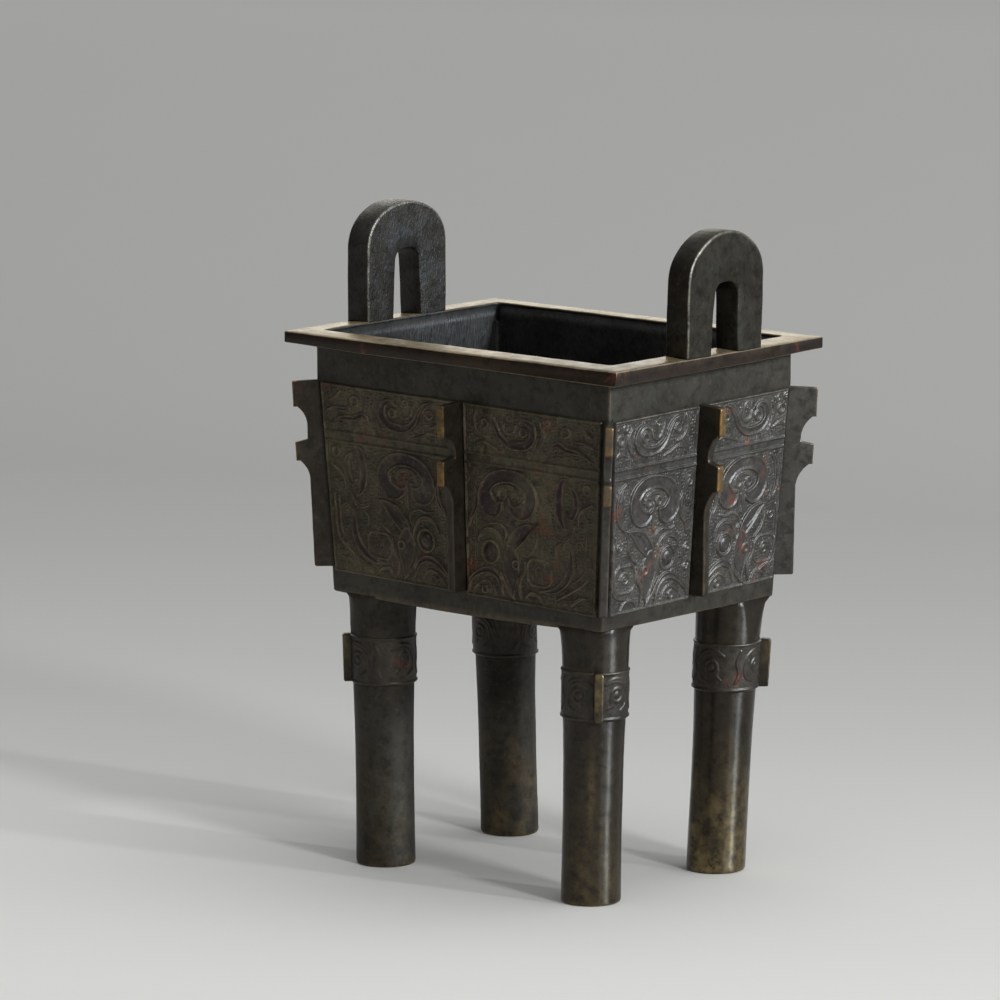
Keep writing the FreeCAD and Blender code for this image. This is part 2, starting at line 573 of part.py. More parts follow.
doc.recompute()
for item in doc.Objects:
    if "Invalid" in item.State or "Error" in item.State:
        raise RuntimeError(f"{item.Name} failed: {item.State}")
for part in parts:
    if part.Shape.isNull() or not part.Shape.isValid():
        raise RuntimeError(f"{part.Label} has no valid shape")
os.makedirs("parts", exist_ok=True)
for part in parts:
    part.Shape.exportStep(f"parts/{part.Label}.step")
    box = part.Shape.BoundBox
    print(f"{part.Label}: {len(part.Shape.Solids)} solid, {part.Shape.Volume:.1f} mm3, "
          f"x {box.XMin:.2f} {box.XMax:.2f}, y {box.YMin:.2f} {box.YMax:.2f}, z {box.ZMin:.2f} {box.ZMax:.2f}")
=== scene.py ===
import math

import bpy
import numpy as np
from mathutils import Matrix, Vector


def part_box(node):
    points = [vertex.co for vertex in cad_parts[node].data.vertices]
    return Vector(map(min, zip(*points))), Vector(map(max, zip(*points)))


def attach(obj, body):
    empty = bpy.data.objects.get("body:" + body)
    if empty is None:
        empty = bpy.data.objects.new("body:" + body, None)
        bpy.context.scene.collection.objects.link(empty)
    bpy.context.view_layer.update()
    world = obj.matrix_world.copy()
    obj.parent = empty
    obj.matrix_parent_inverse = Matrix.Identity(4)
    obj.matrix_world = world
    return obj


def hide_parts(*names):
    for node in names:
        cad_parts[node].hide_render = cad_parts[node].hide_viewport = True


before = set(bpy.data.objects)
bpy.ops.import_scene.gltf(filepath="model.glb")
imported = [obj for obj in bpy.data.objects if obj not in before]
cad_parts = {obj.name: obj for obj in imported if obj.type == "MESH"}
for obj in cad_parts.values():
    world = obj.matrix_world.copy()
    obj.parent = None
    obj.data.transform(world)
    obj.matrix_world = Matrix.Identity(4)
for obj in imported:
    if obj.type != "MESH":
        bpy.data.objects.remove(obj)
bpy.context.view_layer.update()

MM = 0.001


# Sizes of the vessel in millimetres, read off the fixed frame where it has them

def box_mm(node):
    """The low and the high corner of a node's box."""
    low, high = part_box(node)
    return np.array(low) / MM, np.array(high) / MM


FLOOR_LOW, FLOOR_HIGH = box_mm("floor_plate")
RIM_LOW, RIM_HIGH = box_mm("rim_frame")
EAR_TOP = box_mm("ear_right")[1][2]

BASE_Z = FLOOR_LOW[2]
RIM_FOOT = RIM_LOW[2]
RIM_TOP = RIM_HIGH[2]
NECK = np.array([box_mm("wall_back")[1][0], box_mm("wall_right")[1][1]])
NECK_HEIGHT = 12.2
SHOULDER_Z = RIM_FOOT - NECK_HEIGHT
WALL = 2.0
FLOOR_INSET = np.array([0.2, 0.1])
BASE = FLOOR_HIGH[:2] + WALL - FLOOR_INSET
PANEL_FOOT = 103.0
PANEL_TOP = 170.3
FLANGE_HALF = 1.6


def half(axis, z):
    """Half the box's length (0) or width (1) at height z."""
    share = np.clip((np.asarray(z, float) - BASE_Z) / (SHOULDER_Z - BASE_Z), 0, 1)
    return BASE[axis] + (NECK[axis] - BASE[axis]) * share


# The four corners of box and rim, as they sit by hand: how far each lies from the even shape

SETTLE_Z = (85.0, 96.8, 171.0, 183.0, 183.4)
SETTLE_OUT = {(-1, -1): (0, 0.4, 0.0, 0.0, -0.45), (1, -1): (0, -0.55, -1.0, -0.7, 0.0),
              (1, 1): (0, 0.5, 0.45, 0.45, 0.5), (-1, 1): (0, 0, 0, 0, 0)}
SETTLE_ALONG = (0.764, 0.645)
SETTLE_RISE = {(-1, -1): (1.2, 0.4), (1, -1): (-1.4, -0.9), (1, 1): (0.2, 0.4), (-1, 1): (0.2, 0.2)}
SETTLE_RISE_Z = (96.8, PANEL_FOOT, PANEL_TOP, 183.0)


def settle(points):
    """Moves points with the corners of the box, by shares of their distance from each."""
    x, y, z = points[..., 0], points[..., 1], points[..., 2]
    across = np.clip(x / half(0, z), -1, 1)
    along = np.clip(y / half(1, z), -1, 1)
    moved = points.copy()
    for corner, out in SETTLE_OUT.items():
        share = (1 + corner[0] * across) * (1 + corner[1] * along) / 4
        shift = share * np.interp(z, SETTLE_Z, out)
        low, top = SETTLE_RISE[corner]
        moved[..., 0] += SETTLE_ALONG[0] * shift
        moved[..., 1] += SETTLE_ALONG[1] * shift
        moved[..., 2] += share * np.interp(z, SETTLE_RISE_Z, (0, low, top, 0))
    return moved


# Small numeric helpers

def ease(t):
    """A soft step from 0 to 1."""
    t = np.clip(t, 0, 1)
    return t * t * (3 - 2 * t)


def waves(x, y, z, pitch, seed):
    """A smooth, repeatable unevenness between about -1 and 1 with features of the given pitch."""
    rng = np.random.default_rng(seed)
    total = np.zeros(np.broadcast(x, y, z).shape)
    for _ in range(7):
        k = rng.normal(size=3)
        k *= 2 * math.pi / pitch * rng.uniform(0.6, 1.5) / np.linalg.norm(k)
        total += np.sin(k[0] * x + k[1] * y + k[2] * z + rng.uniform(0, 2 * math.pi))
    return total / 7 * 1.6


def spline(points, steps=7):
    """A smooth run through rows of numbers (Catmull-Rom), rows being places and widths alike."""
    p = np.vstack([2 * points[0] - points[1], points, 2 * points[-1] - points[-2]])
    t = np.linspace(0, 1, steps, endpoint=False)[:, None]
    runs = []
    for a, b, c, d in zip(p, p[1:], p[2:], p[3:]):
        runs.append(0.5 * (2 * b + (c - a) * t + (2 * a - 5 * b + 4 * c - d) * t ** 2
                           + (3 * b - 3 * c + d - a) * t ** 3))
    return np.vstack(runs + [p[-2][None]])


def evenly(points, count):
    """The same run of places with evenly spaced points."""
    points = np.array(points)
    along = np.concatenate([[0], np.cumsum(np.linalg.norm(np.diff(points, axis=0), axis=1))])
    even = np.linspace(0, along[-1], count)
    return np.column_stack([np.interp(even, along, points[:, 0]), np.interp(even, along, points[:, 1])])


def unit(rows):
    """Rows of numbers scaled to length 1."""
    return rows / np.maximum(np.linalg.norm(rows, axis=1, keepdims=True), 1e-9)


# Relief: raised forms drawn on a flat grid of places (u, z) in millimetres

class Relief:
    """A height field over a grid, to which forms are added one by one; shift moves them along u."""

    def __init__(self, u, z, ground):
        self.u = u
        self.z = z
        self.shift = 0
        self.height = ground.copy()
        self.form = np.zeros_like(u)
        self.outline = np.zeros_like(u)

    def window(self, low, high):
        """The part of the grid between two corners, as slices."""
        rows = np.searchsorted(self.z[:, 0], (low[1], high[1]))
        cols = np.searchsorted(self.u[0], (low[0], high[0]))
        return slice(*rows), slice(*cols)

    def around(self, centre, reach):
        """The part of the grid within reach of a centre, and how far its places lie from it."""
        centre = np.array(centre) + (self.shift, 0)
        area = self.window(centre - reach, centre + reach)
        return area, self.u[area] - centre[0], self.z[area] - centre[1]

    def distance(self, path):
        """Signed distance to a stroke whose rows are (u, z, half width); negative inside."""
        reach = path[:, 2].max() + 1.2
        area = self.window(path[:, :2].min(0) - reach, path[:, :2].max(0) + reach)
        u = self.u[area]
        z = self.z[area]
        best = np.full(u.shape, 99.0)
        for a, b in zip(path, path[1:]):
            du, dz = b[0] - a[0], b[1] - a[1]
            long = du * du + dz * dz + 1e-9
            t = np.clip(((u - a[0]) * du + (z - a[1]) * dz) / long, 0, 1)
            gap = np.hypot(u - a[0] - du * t, z - a[1] - dz * t) - (a[2] + (b[2] - a[2]) * t)
            best = np.minimum(best, gap)
        return area, best

    def along(self, points):
        """Signed distance to the smooth stroke through the given rows."""
        return self.distance(spline(np.array(points, float) + (self.shift, 0, 0)))

    def raise_form(self, area, gap, height, edge=0.4, sink=0.42, line=0.0):
        """Raise a form whose top sinks a little inside its outline; line engraves a contour further in."""
        inside = ease(-gap / edge + 0.35)
        crest = np.exp(-((gap + 0.38) / 0.26) ** 2)
        lift = height * (1 - sink * (1 - crest) * ease(-gap - 0.3))
        if line:
            lift -= line * np.exp(-((gap + 1.3) / 0.24) ** 2)
        self.height[area] = self.height[area] * (1 - inside) + lift * inside
        self.form[area] = np.maximum(self.form[area], inside)
        self.outline[area] = self.outline[area] * (1 - inside) + crest * inside

    def stroke(self, points, height=0.6, edge=0.4, sink=0.42, line=0.0):
        self.raise_form(*self.along(points), height, edge, sink, line)

    def groove(self, points, depth=0.35, edge=0.3):
        area, gap = self.along(points)
        self.height[area] -= depth * ease(-gap / edge + 0.5)

    def ring(self, centre, radius, half_width=0.55, height=0.55):
        area, du, dz = self.around(centre, radius + 2)
        self.raise_form(area, np.abs(np.hypot(du, dz) - radius) - half_width, height, 0.35, 0)

    def dome(self, centre, radius, height, dimple=0.0):
        area, du, dz = self.around(centre, radius + 1)
        far = np.hypot(du, dz) / radius
        bump = height * np.sqrt(np.clip(1 - far ** 2, 0, 1)) - dimple * np.exp(-(far / 0.3) ** 2)
        self.height[area] = np.where(far < 1, np.maximum(self.height[area], bump), self.height[area])
        self.form[area] = np.maximum(self.form[area], far < 1)

    def whorl(self, centre, radius, turns, start, half_width=0.42, height=0.42, hand=1):
        """A small spiral ridge that winds in to its centre."""
        t = np.linspace(0, 1, int(14 * turns))
        angle = start + hand * 2 * math.pi * turns * t
        far = radius * (1 - 0.86 * t)
        path = np.stack([centre[0] + self.shift + far * np.cos(angle), centre[1] + far * np.sin(angle),
                         half_width * (1 - 0.3 * t)], -1)
        self.raise_form(*self.distance(path), height, 0.3, 0)

    def frame(self, centre, size, corner, half_width, height):
        """A raised line round a square with rounded corners."""
        area, du, dz = self.around(centre, np.array(size) + 2)
        x = np.abs(du) - size[0] + corner
        y = np.abs(dz) - size[1] + corner
        gap = np.hypot(np.maximum(x, 0), np.maximum(y, 0)) + np.minimum(np.maximum(x, y), 0) - corner
        self.raise_form(area, np.abs(gap) - half_width, height, 0.35, 0)


def thunder_ground(u, z, cell=3.3, pitch=0.98):
    """Leiwen: a fine ground of squared spirals in rows, every other one turned round."""
    column = np.floor(u / cell)
    row = np.floor(z / cell)
    x = u - (column + 0.5) * cell
    y = z - (row + 0.5) * cell
    hand = np.where((column + row) % 2 > 0, 1.0, -1.0)
    square = np.maximum(np.abs(x), np.abs(y))
    turn = np.arctan2(y, x) / (2 * math.pi)
    return np.cos(2 * math.pi * (square / pitch + hand * turn))


def lower_mask(r, shift, wide):
    """One half of the mask on the lower frieze; u runs outward from the mid flange."""
    r.shift = shift
    r.stroke([(23.8, 137.4, .5), (26, 135.2, 1.6), (30, 135, 3.1), (33.3, 138.2, 3), (33, 142.8, 2.7),
              (28.6, 146.2, 2.6), (22.4, 146.8, 2.5), (16.8, 145, 2.6), (13.4, 140.9, 2.8),
              (14.2, 136.5, 3.8), (17.6, 134.9, 3), (20.6, 137, .8)], 0.95, 0.42, 0.5)
    r.stroke([(18.9, 139.6, .6), (19.9, 142.2, .8), (23.2, 143.3, .8), (26.6, 142.4, .8),
              (28.2, 139.8, .6)], 0.6)
    r.ring((21.0, 140.0), 1.35, 0.42, 0.55)
    r.ring((26.2, 140.0), 1.35, 0.42, 0.55)
    r.stroke([(23.6, 139.4, .5), (23.8, 135, .9), (23.7, 131.4, .8), (22.8, 129.6, .3)], 0.6)
    r.stroke([(11.6, 130.2, .3), (14.6, 129.4, .45), (18.4, 130, .5), (21.8, 128.6, .5), (22.6, 126.2, .5),
              (21.6, 124.2, .3)], 0.6)
    r.stroke([(9.4, 122.6, .3), (11.2, 126, .7), (14.8, 127.4, .9), (18.4, 126.3, .8), (20.6, 123.2, .6),
              (21.4, 120.2, .3)], 0.6)
    r.stroke([(23.6, 120, .9), (25.8, 123.8, 2.7), (29.6, 127.6, 3), (33.4, 130, 1.6),
              (37, 131.4, .2)], 0.85, 0.42, 0.6)
    r.groove([(27, 124.4, .3), (29.8, 127.2, 1.1), (33.6, 129.9, .3)], 0.35)
    r.stroke([(36.2, 130.4, .3), (36.4, 126.2, .6), (35, 122.6, .7), (31.8, 119.8, .4)], 0.7)
    r.stroke([(24.4, 121.6, 1.8), (24.6, 117.6, 4), (25, 113.4, 3.6), (25.4, 109.4, 1.9),
              (25.8, 105, .4)], 0.6, 0.5, 0.5)
    r.ring((27.0, 116.6), 1.4, 0.45, 0.75)
    r.stroke([(19.6, 113.2, .3), (21.4, 109.8, .8), (24.6, 106.2, .7), (26.6, 104.4, .3)], 0.95)
    r.stroke([(31.4, 118.2, .3), (31.2, 114.4, .7), (29, 111.2, .8), (28.8, 108, .7),
              (29.6, 104.8, .3)], 0.9)
    r.ring((15.2, 119.6), 3.9, 0.5, 0.75)
    r.dome((15.2, 119.6), 2.8, 1.35, 0.3)
    r.stroke([(2.9 - r.shift, 105, .5), (6, 108.9, .9), (10, 112, 1.2), (14.6, 113.3, 1.4),
              (18.4, 111.8, 1.2), (20.4, 108.6, .9), (21.2, 105.6, .4)], 0.9, 0.4, 0.5)
    r.stroke([(6.6, 105, .3), (9.6, 108, .5), (13.4, 109.4, .55), (16.4, 107.8, .5), (17.6, 104.9, .3)], 0.6)
    r.ring((12.4, 106.2), 1.2, 0.4, 0.6)
    r.frame((37.6, 115.0), (5.4, 4.6), 3.2, 0.45, 0.55)
    r.whorl((37.6, 115.0), 2.6, 1.6, 0.0, 0.36, 0.45)
    r.stroke([(8.6, 141.4, .3), (9.4, 137.8, 1), (8.6, 133.6, 1.1), (6.4, 130.4, .7),
              (5.6, 127.2, .3)], 0.75)
    r.whorl((4.9, 144.4), 1.9, 1.3, 1.5)
    r.whorl((4.6, 121.6), 1.7, 1.3, 0.0)
    r.whorl((5.0, 115.2), 1.5, 1.2, 3.0)
    r.stroke([(31.4, 105.2, .3), (33.6, 107.4, .7), (37.2, 106.8, .6), (39.4, 104.6, .3)], 0.6)
    r.shift = 0
    if wide:
        r.stroke([(48.2, 149.2, .3), (45.4, 147.8, 1.2), (44.2, 143, 1.8), (44.4, 137.8, 1.8),
                  (45.8, 133.4, 1.2), (48.2, 131.2, .3)], 0.75, 0.42, 0.6)
        r.stroke([(48.6, 146.6, .5), (51.4, 144, 1.3), (51.8, 139.6, 1.5), (49.8, 136, 1.2),
                  (47.4, 137.4, .4)], 0.65, 0.4)
        r.stroke([(41.8, 132, .3), (43, 129, .8), (46.4, 128, .9), (49.4, 129.6, .8),
                  (51.4, 133.4, .4)], 0.6)
        r.stroke([(49.8, 126.8, .4), (50, 121.4, 1.4), (49.2, 116, 1.7), (46, 112, 1.6), (41.4, 109.4, 1.1),
                  (36, 108.8, .4)], 0.8, 0.42, 0.6)
        r.stroke([(45, 126.6, .3), (43, 124.4, .6), (43.6, 121.8, .5), (45.8, 121.6, .3)], 0.6)
        r.stroke([(58.6, 131, .3), (58.4, 118.6, .45), (56.4, 114.2, .5), (50.4, 110.2, .5),
                  (43, 106.4, .3)], 0.6, 0.3)
        r.stroke([(56.6, 131, .3), (56.4, 120, .45), (54.6, 116.2, .45), (51.4, 113.6, .3)], 0.5, 0.3)
        r.stroke([(59.2, 141.8, .3), (56.2, 139.9, .7), (53.4, 137.6, .6), (53.2, 134, .3)], 0.7)
        r.ring((56.4, 146.2), 1.6, 0.45, 0.6)
        r.whorl((53.4, 126.6), 1.8, 1.4, 0.0)
        r.whorl((53.2, 121.2), 1.6, 1.3, 2.0, hand=-1)
        r.stroke([(57.6, 109, .3), (54, 108.2, .8), (50.8, 105.6, .5)], 0.65)
    else:
        r.stroke([(38.4, 148, .3), (41, 145.4, 1), (42.2, 140.6, 1.4), (41.4, 135.4, 1.3),
                  (38.8, 131.8, .4)], 0.75, 0.4)
        r.stroke([(43, 130, .3), (44.4, 123.6, .9), (44.4, 116.6, 1.1), (42.4, 110.2, 1),
                  (37, 108, .4)], 0.75)
        r.whorl((40.8, 126.6), 1.8, 1.3, 2.6)


def upper_dragon(r, shift, wide):
    """One coiled kui dragon on the upper frieze."""
    r.shift = shift
    r.stroke([(27.2, 165.2, .4), (29.6, 166.7, .9), (32.6, 165.4, 1.4), (33.6, 161.8, 1.7),
              (31.2, 158.7, 1.8), (26.8, 157.7, 1.7), (22.4, 158.2, 1.5), (18.9, 160.8, 1.2), (17, 164.4, 1),
              (14.6, 167.2, .7), (12, 168.2, .3)], 0.95, 0.42, 0.5)
    r.ring((29.2, 162.7), 1.5, 0.5, 0.62)
    r.stroke([(26, 164.8, .4), (25, 162.2, .6), (22.5, 161.5, .6), (20.7, 163.2, .6),
              (19.6, 166.4, .3)], 0.5)
    r.whorl((23.0, 166.6), 1.5, 1.2, 0.0)
    r.ring((12.4, 164.0), 1.4, 0.5, 0.55)
    r.stroke([(8.6, 168, .3), (7.6, 164, .7), (9, 160.6, .8), (12.6, 159.5, .4)], 0.55)
    r.stroke([(8, 156.6, .3), (12, 157.5, .7), (16, 156.2, .5), (19.4, 155.2, .3)], 0.5)
    r.stroke([(36.4, 166.6, .3), (38, 163, .8), (36.8, 159.4, .8), (34.8, 156.4, .3)], 0.55)
    r.whorl((39.6, 167.4), 1.4, 1.2, 3.0)
    r.shift = 0
    if wide:
        r.ring((46.6, 164.8), 1.7, 0.55, 0.6)
        r.stroke([(59.6, 160.4, .4), (55.4, 161.6, .8), (50.8, 161.6, 1), (48.6, 163.4, .5)], 0.6)
        r.stroke([(57.4, 156.4, .3), (52.6, 158.4, .9), (47, 158.9, 1.2), (43.2, 160.4, 1.2),
                  (40.4, 158.4, .5)], 0.8, 0.42, 0.5)
        r.stroke([(52.2, 168.2, .4), (55, 165.4, .8), (58, 164, .4)], 0.55)
        r.whorl((42.0, 156.0), 1.2, 1.1, 1.0)
        r.whorl((58.4, 167.2), 1.3, 1.2, 2.0)
    else:
        r.ring((42.0, 163.4), 1.5, 0.5, 0.55)
        r.stroke([(45, 157, .3), (42, 158.6, .8), (38.6, 157.6, .4)], 0.5)
        r.whorl((43.8, 167.6), 1.2, 1.2, 1.0)


STEP = 0.21
PANEL_MARGIN = 2.3
PANEL_LIFT = 0.72


def panel_relief(axis, shift, seed):
    """Heights over the wall of one half panel: its two friezes, ridges and border."""
    wide = axis == 0
    across = np.arange(0, 1 + 1e-9, STEP / (58 if wide else 44))
    up = np.arange(PANEL_FOOT, PANEL_TOP + STEP / 2, STEP)
    share, z = np.meshgrid(across, up)
    near = FLANGE_HALF + 0.1
    u = near + (half(axis, z) - PANEL_MARGIN - near) * share
    flat_u = near + (half(axis, 137.0) - PANEL_MARGIN - near) * share
    drift = 0.25 * waves(flat_u, z, 0, 11, seed + 5)
    hatch = np.cos(2 * math.pi * (flat_u + 2 * drift + 0.3 * waves(u, z, 0, 4, seed + 6)) / 0.96)
    ground = 0.75 * thunder_ground(flat_u + drift, z * 0.8 + drift) + 0.6 * hatch
    relief = Relief(flat_u, z, (0.26 if wide else 0.16) * ground)
    lower_mask(relief, shift, wide)
    upper_dragon(relief, shift * 0.5, wide)
    h = relief.height
    plain = ease((1.9 - np.abs(z - 151.5)) / 0.3)
    h = h * (1 - plain)
    for ridge in (153.1, 149.9):
        h = np.maximum(h, 0.7 * ease((0.5 - np.abs(z - ridge)) / 0.35 + 0.3))
    edge_gap = np.minimum(flat_u - near, flat_u[:, -1:] - flat_u)
    rim = np.minimum(np.minimum(z - PANEL_FOOT, PANEL_TOP - z), edge_gap)
    h = np.maximum(h, 0.5 * ease((0.5 - np.abs(rim - 0.6)) / 0.3 + 0.2))
    worn = 0.84 + 0.16 * waves(u, z, 0, 17, seed)
    h = h * worn * (1.2 if wide else 1.0) + 0.06 * waves(u, z, 0, 5, seed + 1)
    h += 0.05 * waves(u, z, 0, 1.7, seed + 2)
    h = (PANEL_LIFT + h) * ease(rim / 0.55 + 0.12)
    # Worn metal on the relief's crests and along the panel's top and bottom borders. The crest lines and the
    # top border also serve as painted highlights.
    border = ease(1 - np.abs(rim - 0.45) / 0.5) * (edge_gap > 0.8)
    patchy = np.clip(0.4 + 0.4 * waves(u, z, 0, 23, seed + 3), 0, 1)
    wear = (0.7 if wide else 0.35) * relief.outline + border * patchy
    return u, z, h, relief.form, wear


# Meshes

def new_piece(name, verts, faces, material, **fields):
    """A mesh object from millimetre points, with per-point fields for its material."""
    mesh = bpy.data.meshes.new(name)
    faces = faces if isinstance(faces, list) else faces.tolist()
    mesh.from_pydata((settle(verts) * MM).tolist(), [], faces)
    for key, values in fields.items():
        layer = mesh.attributes.new(key, "FLOAT", "POINT")
        layer.data.foreach_set("value", np.ascontiguousarray(values, dtype=np.float32).ravel())
    mesh.polygons.foreach_set("use_smooth", [True] * len(mesh.polygons))
    mesh.validate()
    mesh.update()
    mesh.materials.append(material)
    piece = bpy.data.objects.new(name, mesh)
    bpy.context.scene.collection.objects.link(piece)
    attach(piece, "root")
    return piece


def quads(rows, cols, wrap_rows=False, wrap_cols=False):
    """Quads over a rows by cols grid of points."""
    i = np.arange(rows if wrap_rows else rows - 1)
    j = np.arange(cols if wrap_cols else cols - 1)
    a, b = np.meshgrid(i, j, indexing="ij")
    a2 = (a + 1) % rows
    b2 = (b + 1) % cols
    return np.stack([a * cols + b, a * cols + b2, a2 * cols + b2, a2 * cols + b], -1).reshape(-1, 4)


def capped_tube(rows, cols, flip=False):
    """Faces over rows of points that run round, with a flat face at each end."""
    count = rows * cols
    faces = quads(rows, cols, False, True).tolist()
    faces += [list(range(cols))[::-1], list(range(count - cols, count))]
    return [face[::-1] for face in faces] if flip else faces


def on_wall(axis, sign, u, z, out):
    """Points on a wall (axis 0: front or back, 1: side) at a distance out from its face."""
    depth = sign * (half(1 - axis, z) + out)
    return np.stack([u, depth, z] if axis == 0 else [depth, u, z], -1)


def panel_piece(name, axis, sign, side, relief, material):
    """A half panel on a wall; side is -1 or 1 along the wall's own axis."""
    u, z, h, form, wear = relief
    top = on_wall(axis, sign, side * u, z, h).reshape(-1, 3)
    rows, cols = u.shape
    border = np.concatenate([np.arange(cols), np.arange(1, rows) * cols + cols - 1,
                             (rows - 1) * cols + np.arange(cols - 2, -1, -1),
                             np.arange(rows - 2, 0, -1) * cols])
    sunk = on_wall(axis, sign, side * u, z, h * 0 - 0.5).reshape(-1, 3)[border]
    ring = rows * cols + np.arange(len(border))
    skirt = np.stack([border, ring, np.roll(ring, -1), np.roll(border, -1)], -1)
    faces = quads(rows, cols).tolist() + skirt.tolist() + [ring[::-1].tolist()]
    if sign * side * (1 if axis == 0 else -1) > 0:
        faces = [face[::-1] for face in faces]
    fields = {"relief": h - PANEL_LIFT, "form": form, "wear": wear}
    fields = {key: np.append(values, np.zeros(len(border))) for key, values in fields.items()}
    piece = new_piece(name, np.vstack([top, sunk]), faces, material, **fields)


def cut_up(points, counts):
    """A closed outline, with the run from each of its points to the next cut into a count of parts."""
    points = np.array(points, float)
    runs = zip(points, np.roll(points, -1, 0), counts)
    return np.array([a + (b - a) * k / count for a, b, count in runs for k in range(count)])


def rounded_rectangle(x, y, radius, cuts_x, cuts_y, corner_steps=7):
    """Points round a rectangle with half sizes x and y, anticlockwise from its front left."""
    points = []
    for sx, sy, start in ((-1, -1, 180), (1, -1, 270), (1, 1, 0), (-1, 1, 90)):
        u, v = sx * (x - radius), sy * (y - radius)
        for a in np.radians(np.linspace(start, start + 90, corner_steps)):
            points.append((u + radius * math.cos(a), v + radius * math.sin(a)))
    arc = [1] * (corner_steps - 1)
    return cut_up(points, (arc + [cuts_x] + arc + [cuts_y]) * 2)


def loop_skin(name, stack, material, wear, inner):
    """A closed skin through a ring of equal loops; inner marks its faces on the vessel's inside."""
    rows, cols = stack.shape[:2]
    piece = new_piece(name, stack.reshape(-1, 3), quads(rows, cols, True, True), material, wear=wear)
    piece.data.materials.append(inner_bronze)
    index = np.broadcast_to(inner, (rows, cols)).astype(np.int32)
    piece.data.polygons.foreach_set("material_index", index.ravel())
    return piece


# Materials

METALLIC = 0.4
RED = (0.15, 0.040, 0.020)
BUMP_DEPTH = 0.0004


class Graph:
    """Shader nodes, with short ways to add and join them."""

    def __init__(self, tree):
        self.tree = tree
        self.coords = tree.nodes.new("ShaderNodeTexCoord").outputs

    def fill(self, socket, value):
        """Joins an output to a socket, or sets the socket to a number, a direction or a colour."""
        if isinstance(value, bpy.types.NodeSocket):
            self.tree.links.new(value, socket)
        else:
            socket.default_value = (*value, 1) if socket.type == "RGBA" else value

    def add(self, kind, output, inputs, **settings):
        """A new node with its inputs filled; gives one of its outputs."""
        node = self.tree.nodes.new(kind)
        for key, value in settings.items():
            setattr(node, key, value)
        for key, value in inputs.items():
            self.fill(node.inputs[key], value)
        return node.outputs[output]

    def noise(self, scale, detail, roughness=0.55, vector=None, distortion=0.0):
        inputs = {"Vector": vector or self.coords["Object"], "Scale": scale, "Detail": detail,
                  "Roughness": roughness, "Distortion": distortion}
        return self.add("ShaderNodeTexNoise", "Fac", inputs)

    def remap(self, value, low, high, out_low=0.0, out_high=1.0):
        inputs = {"Value": value, "From Min": low, "From Max": high, "To Min": out_low, "To Max": out_high}
        return self.add("ShaderNodeMapRange", "Result", inputs)

    def times(self, a, b):
        return self.add("ShaderNodeMath", "Value", {0: a, 1: b}, operation="MULTIPLY", use_clamp=True)

    def plus(self, a, b):
        return self.add("ShaderNodeMath", "Value", {0: a, 1: b}, operation="ADD", use_clamp=True)

    def toward(self, vector, direction):
        """How far a vector reaches in a direction."""
        return self.add("ShaderNodeVectorMath", "Value", {0: vector, 1: direction}, operation="DOT_PRODUCT")

    def mix(self, factor, a, b):
        return self.add("ShaderNodeMix", 2, {"Factor": factor, 6: a, 7: b}, data_type="RGBA")

    def field(self, key):
        return self.add("ShaderNodeAttribute", "Fac", {}, attribute_name=key)


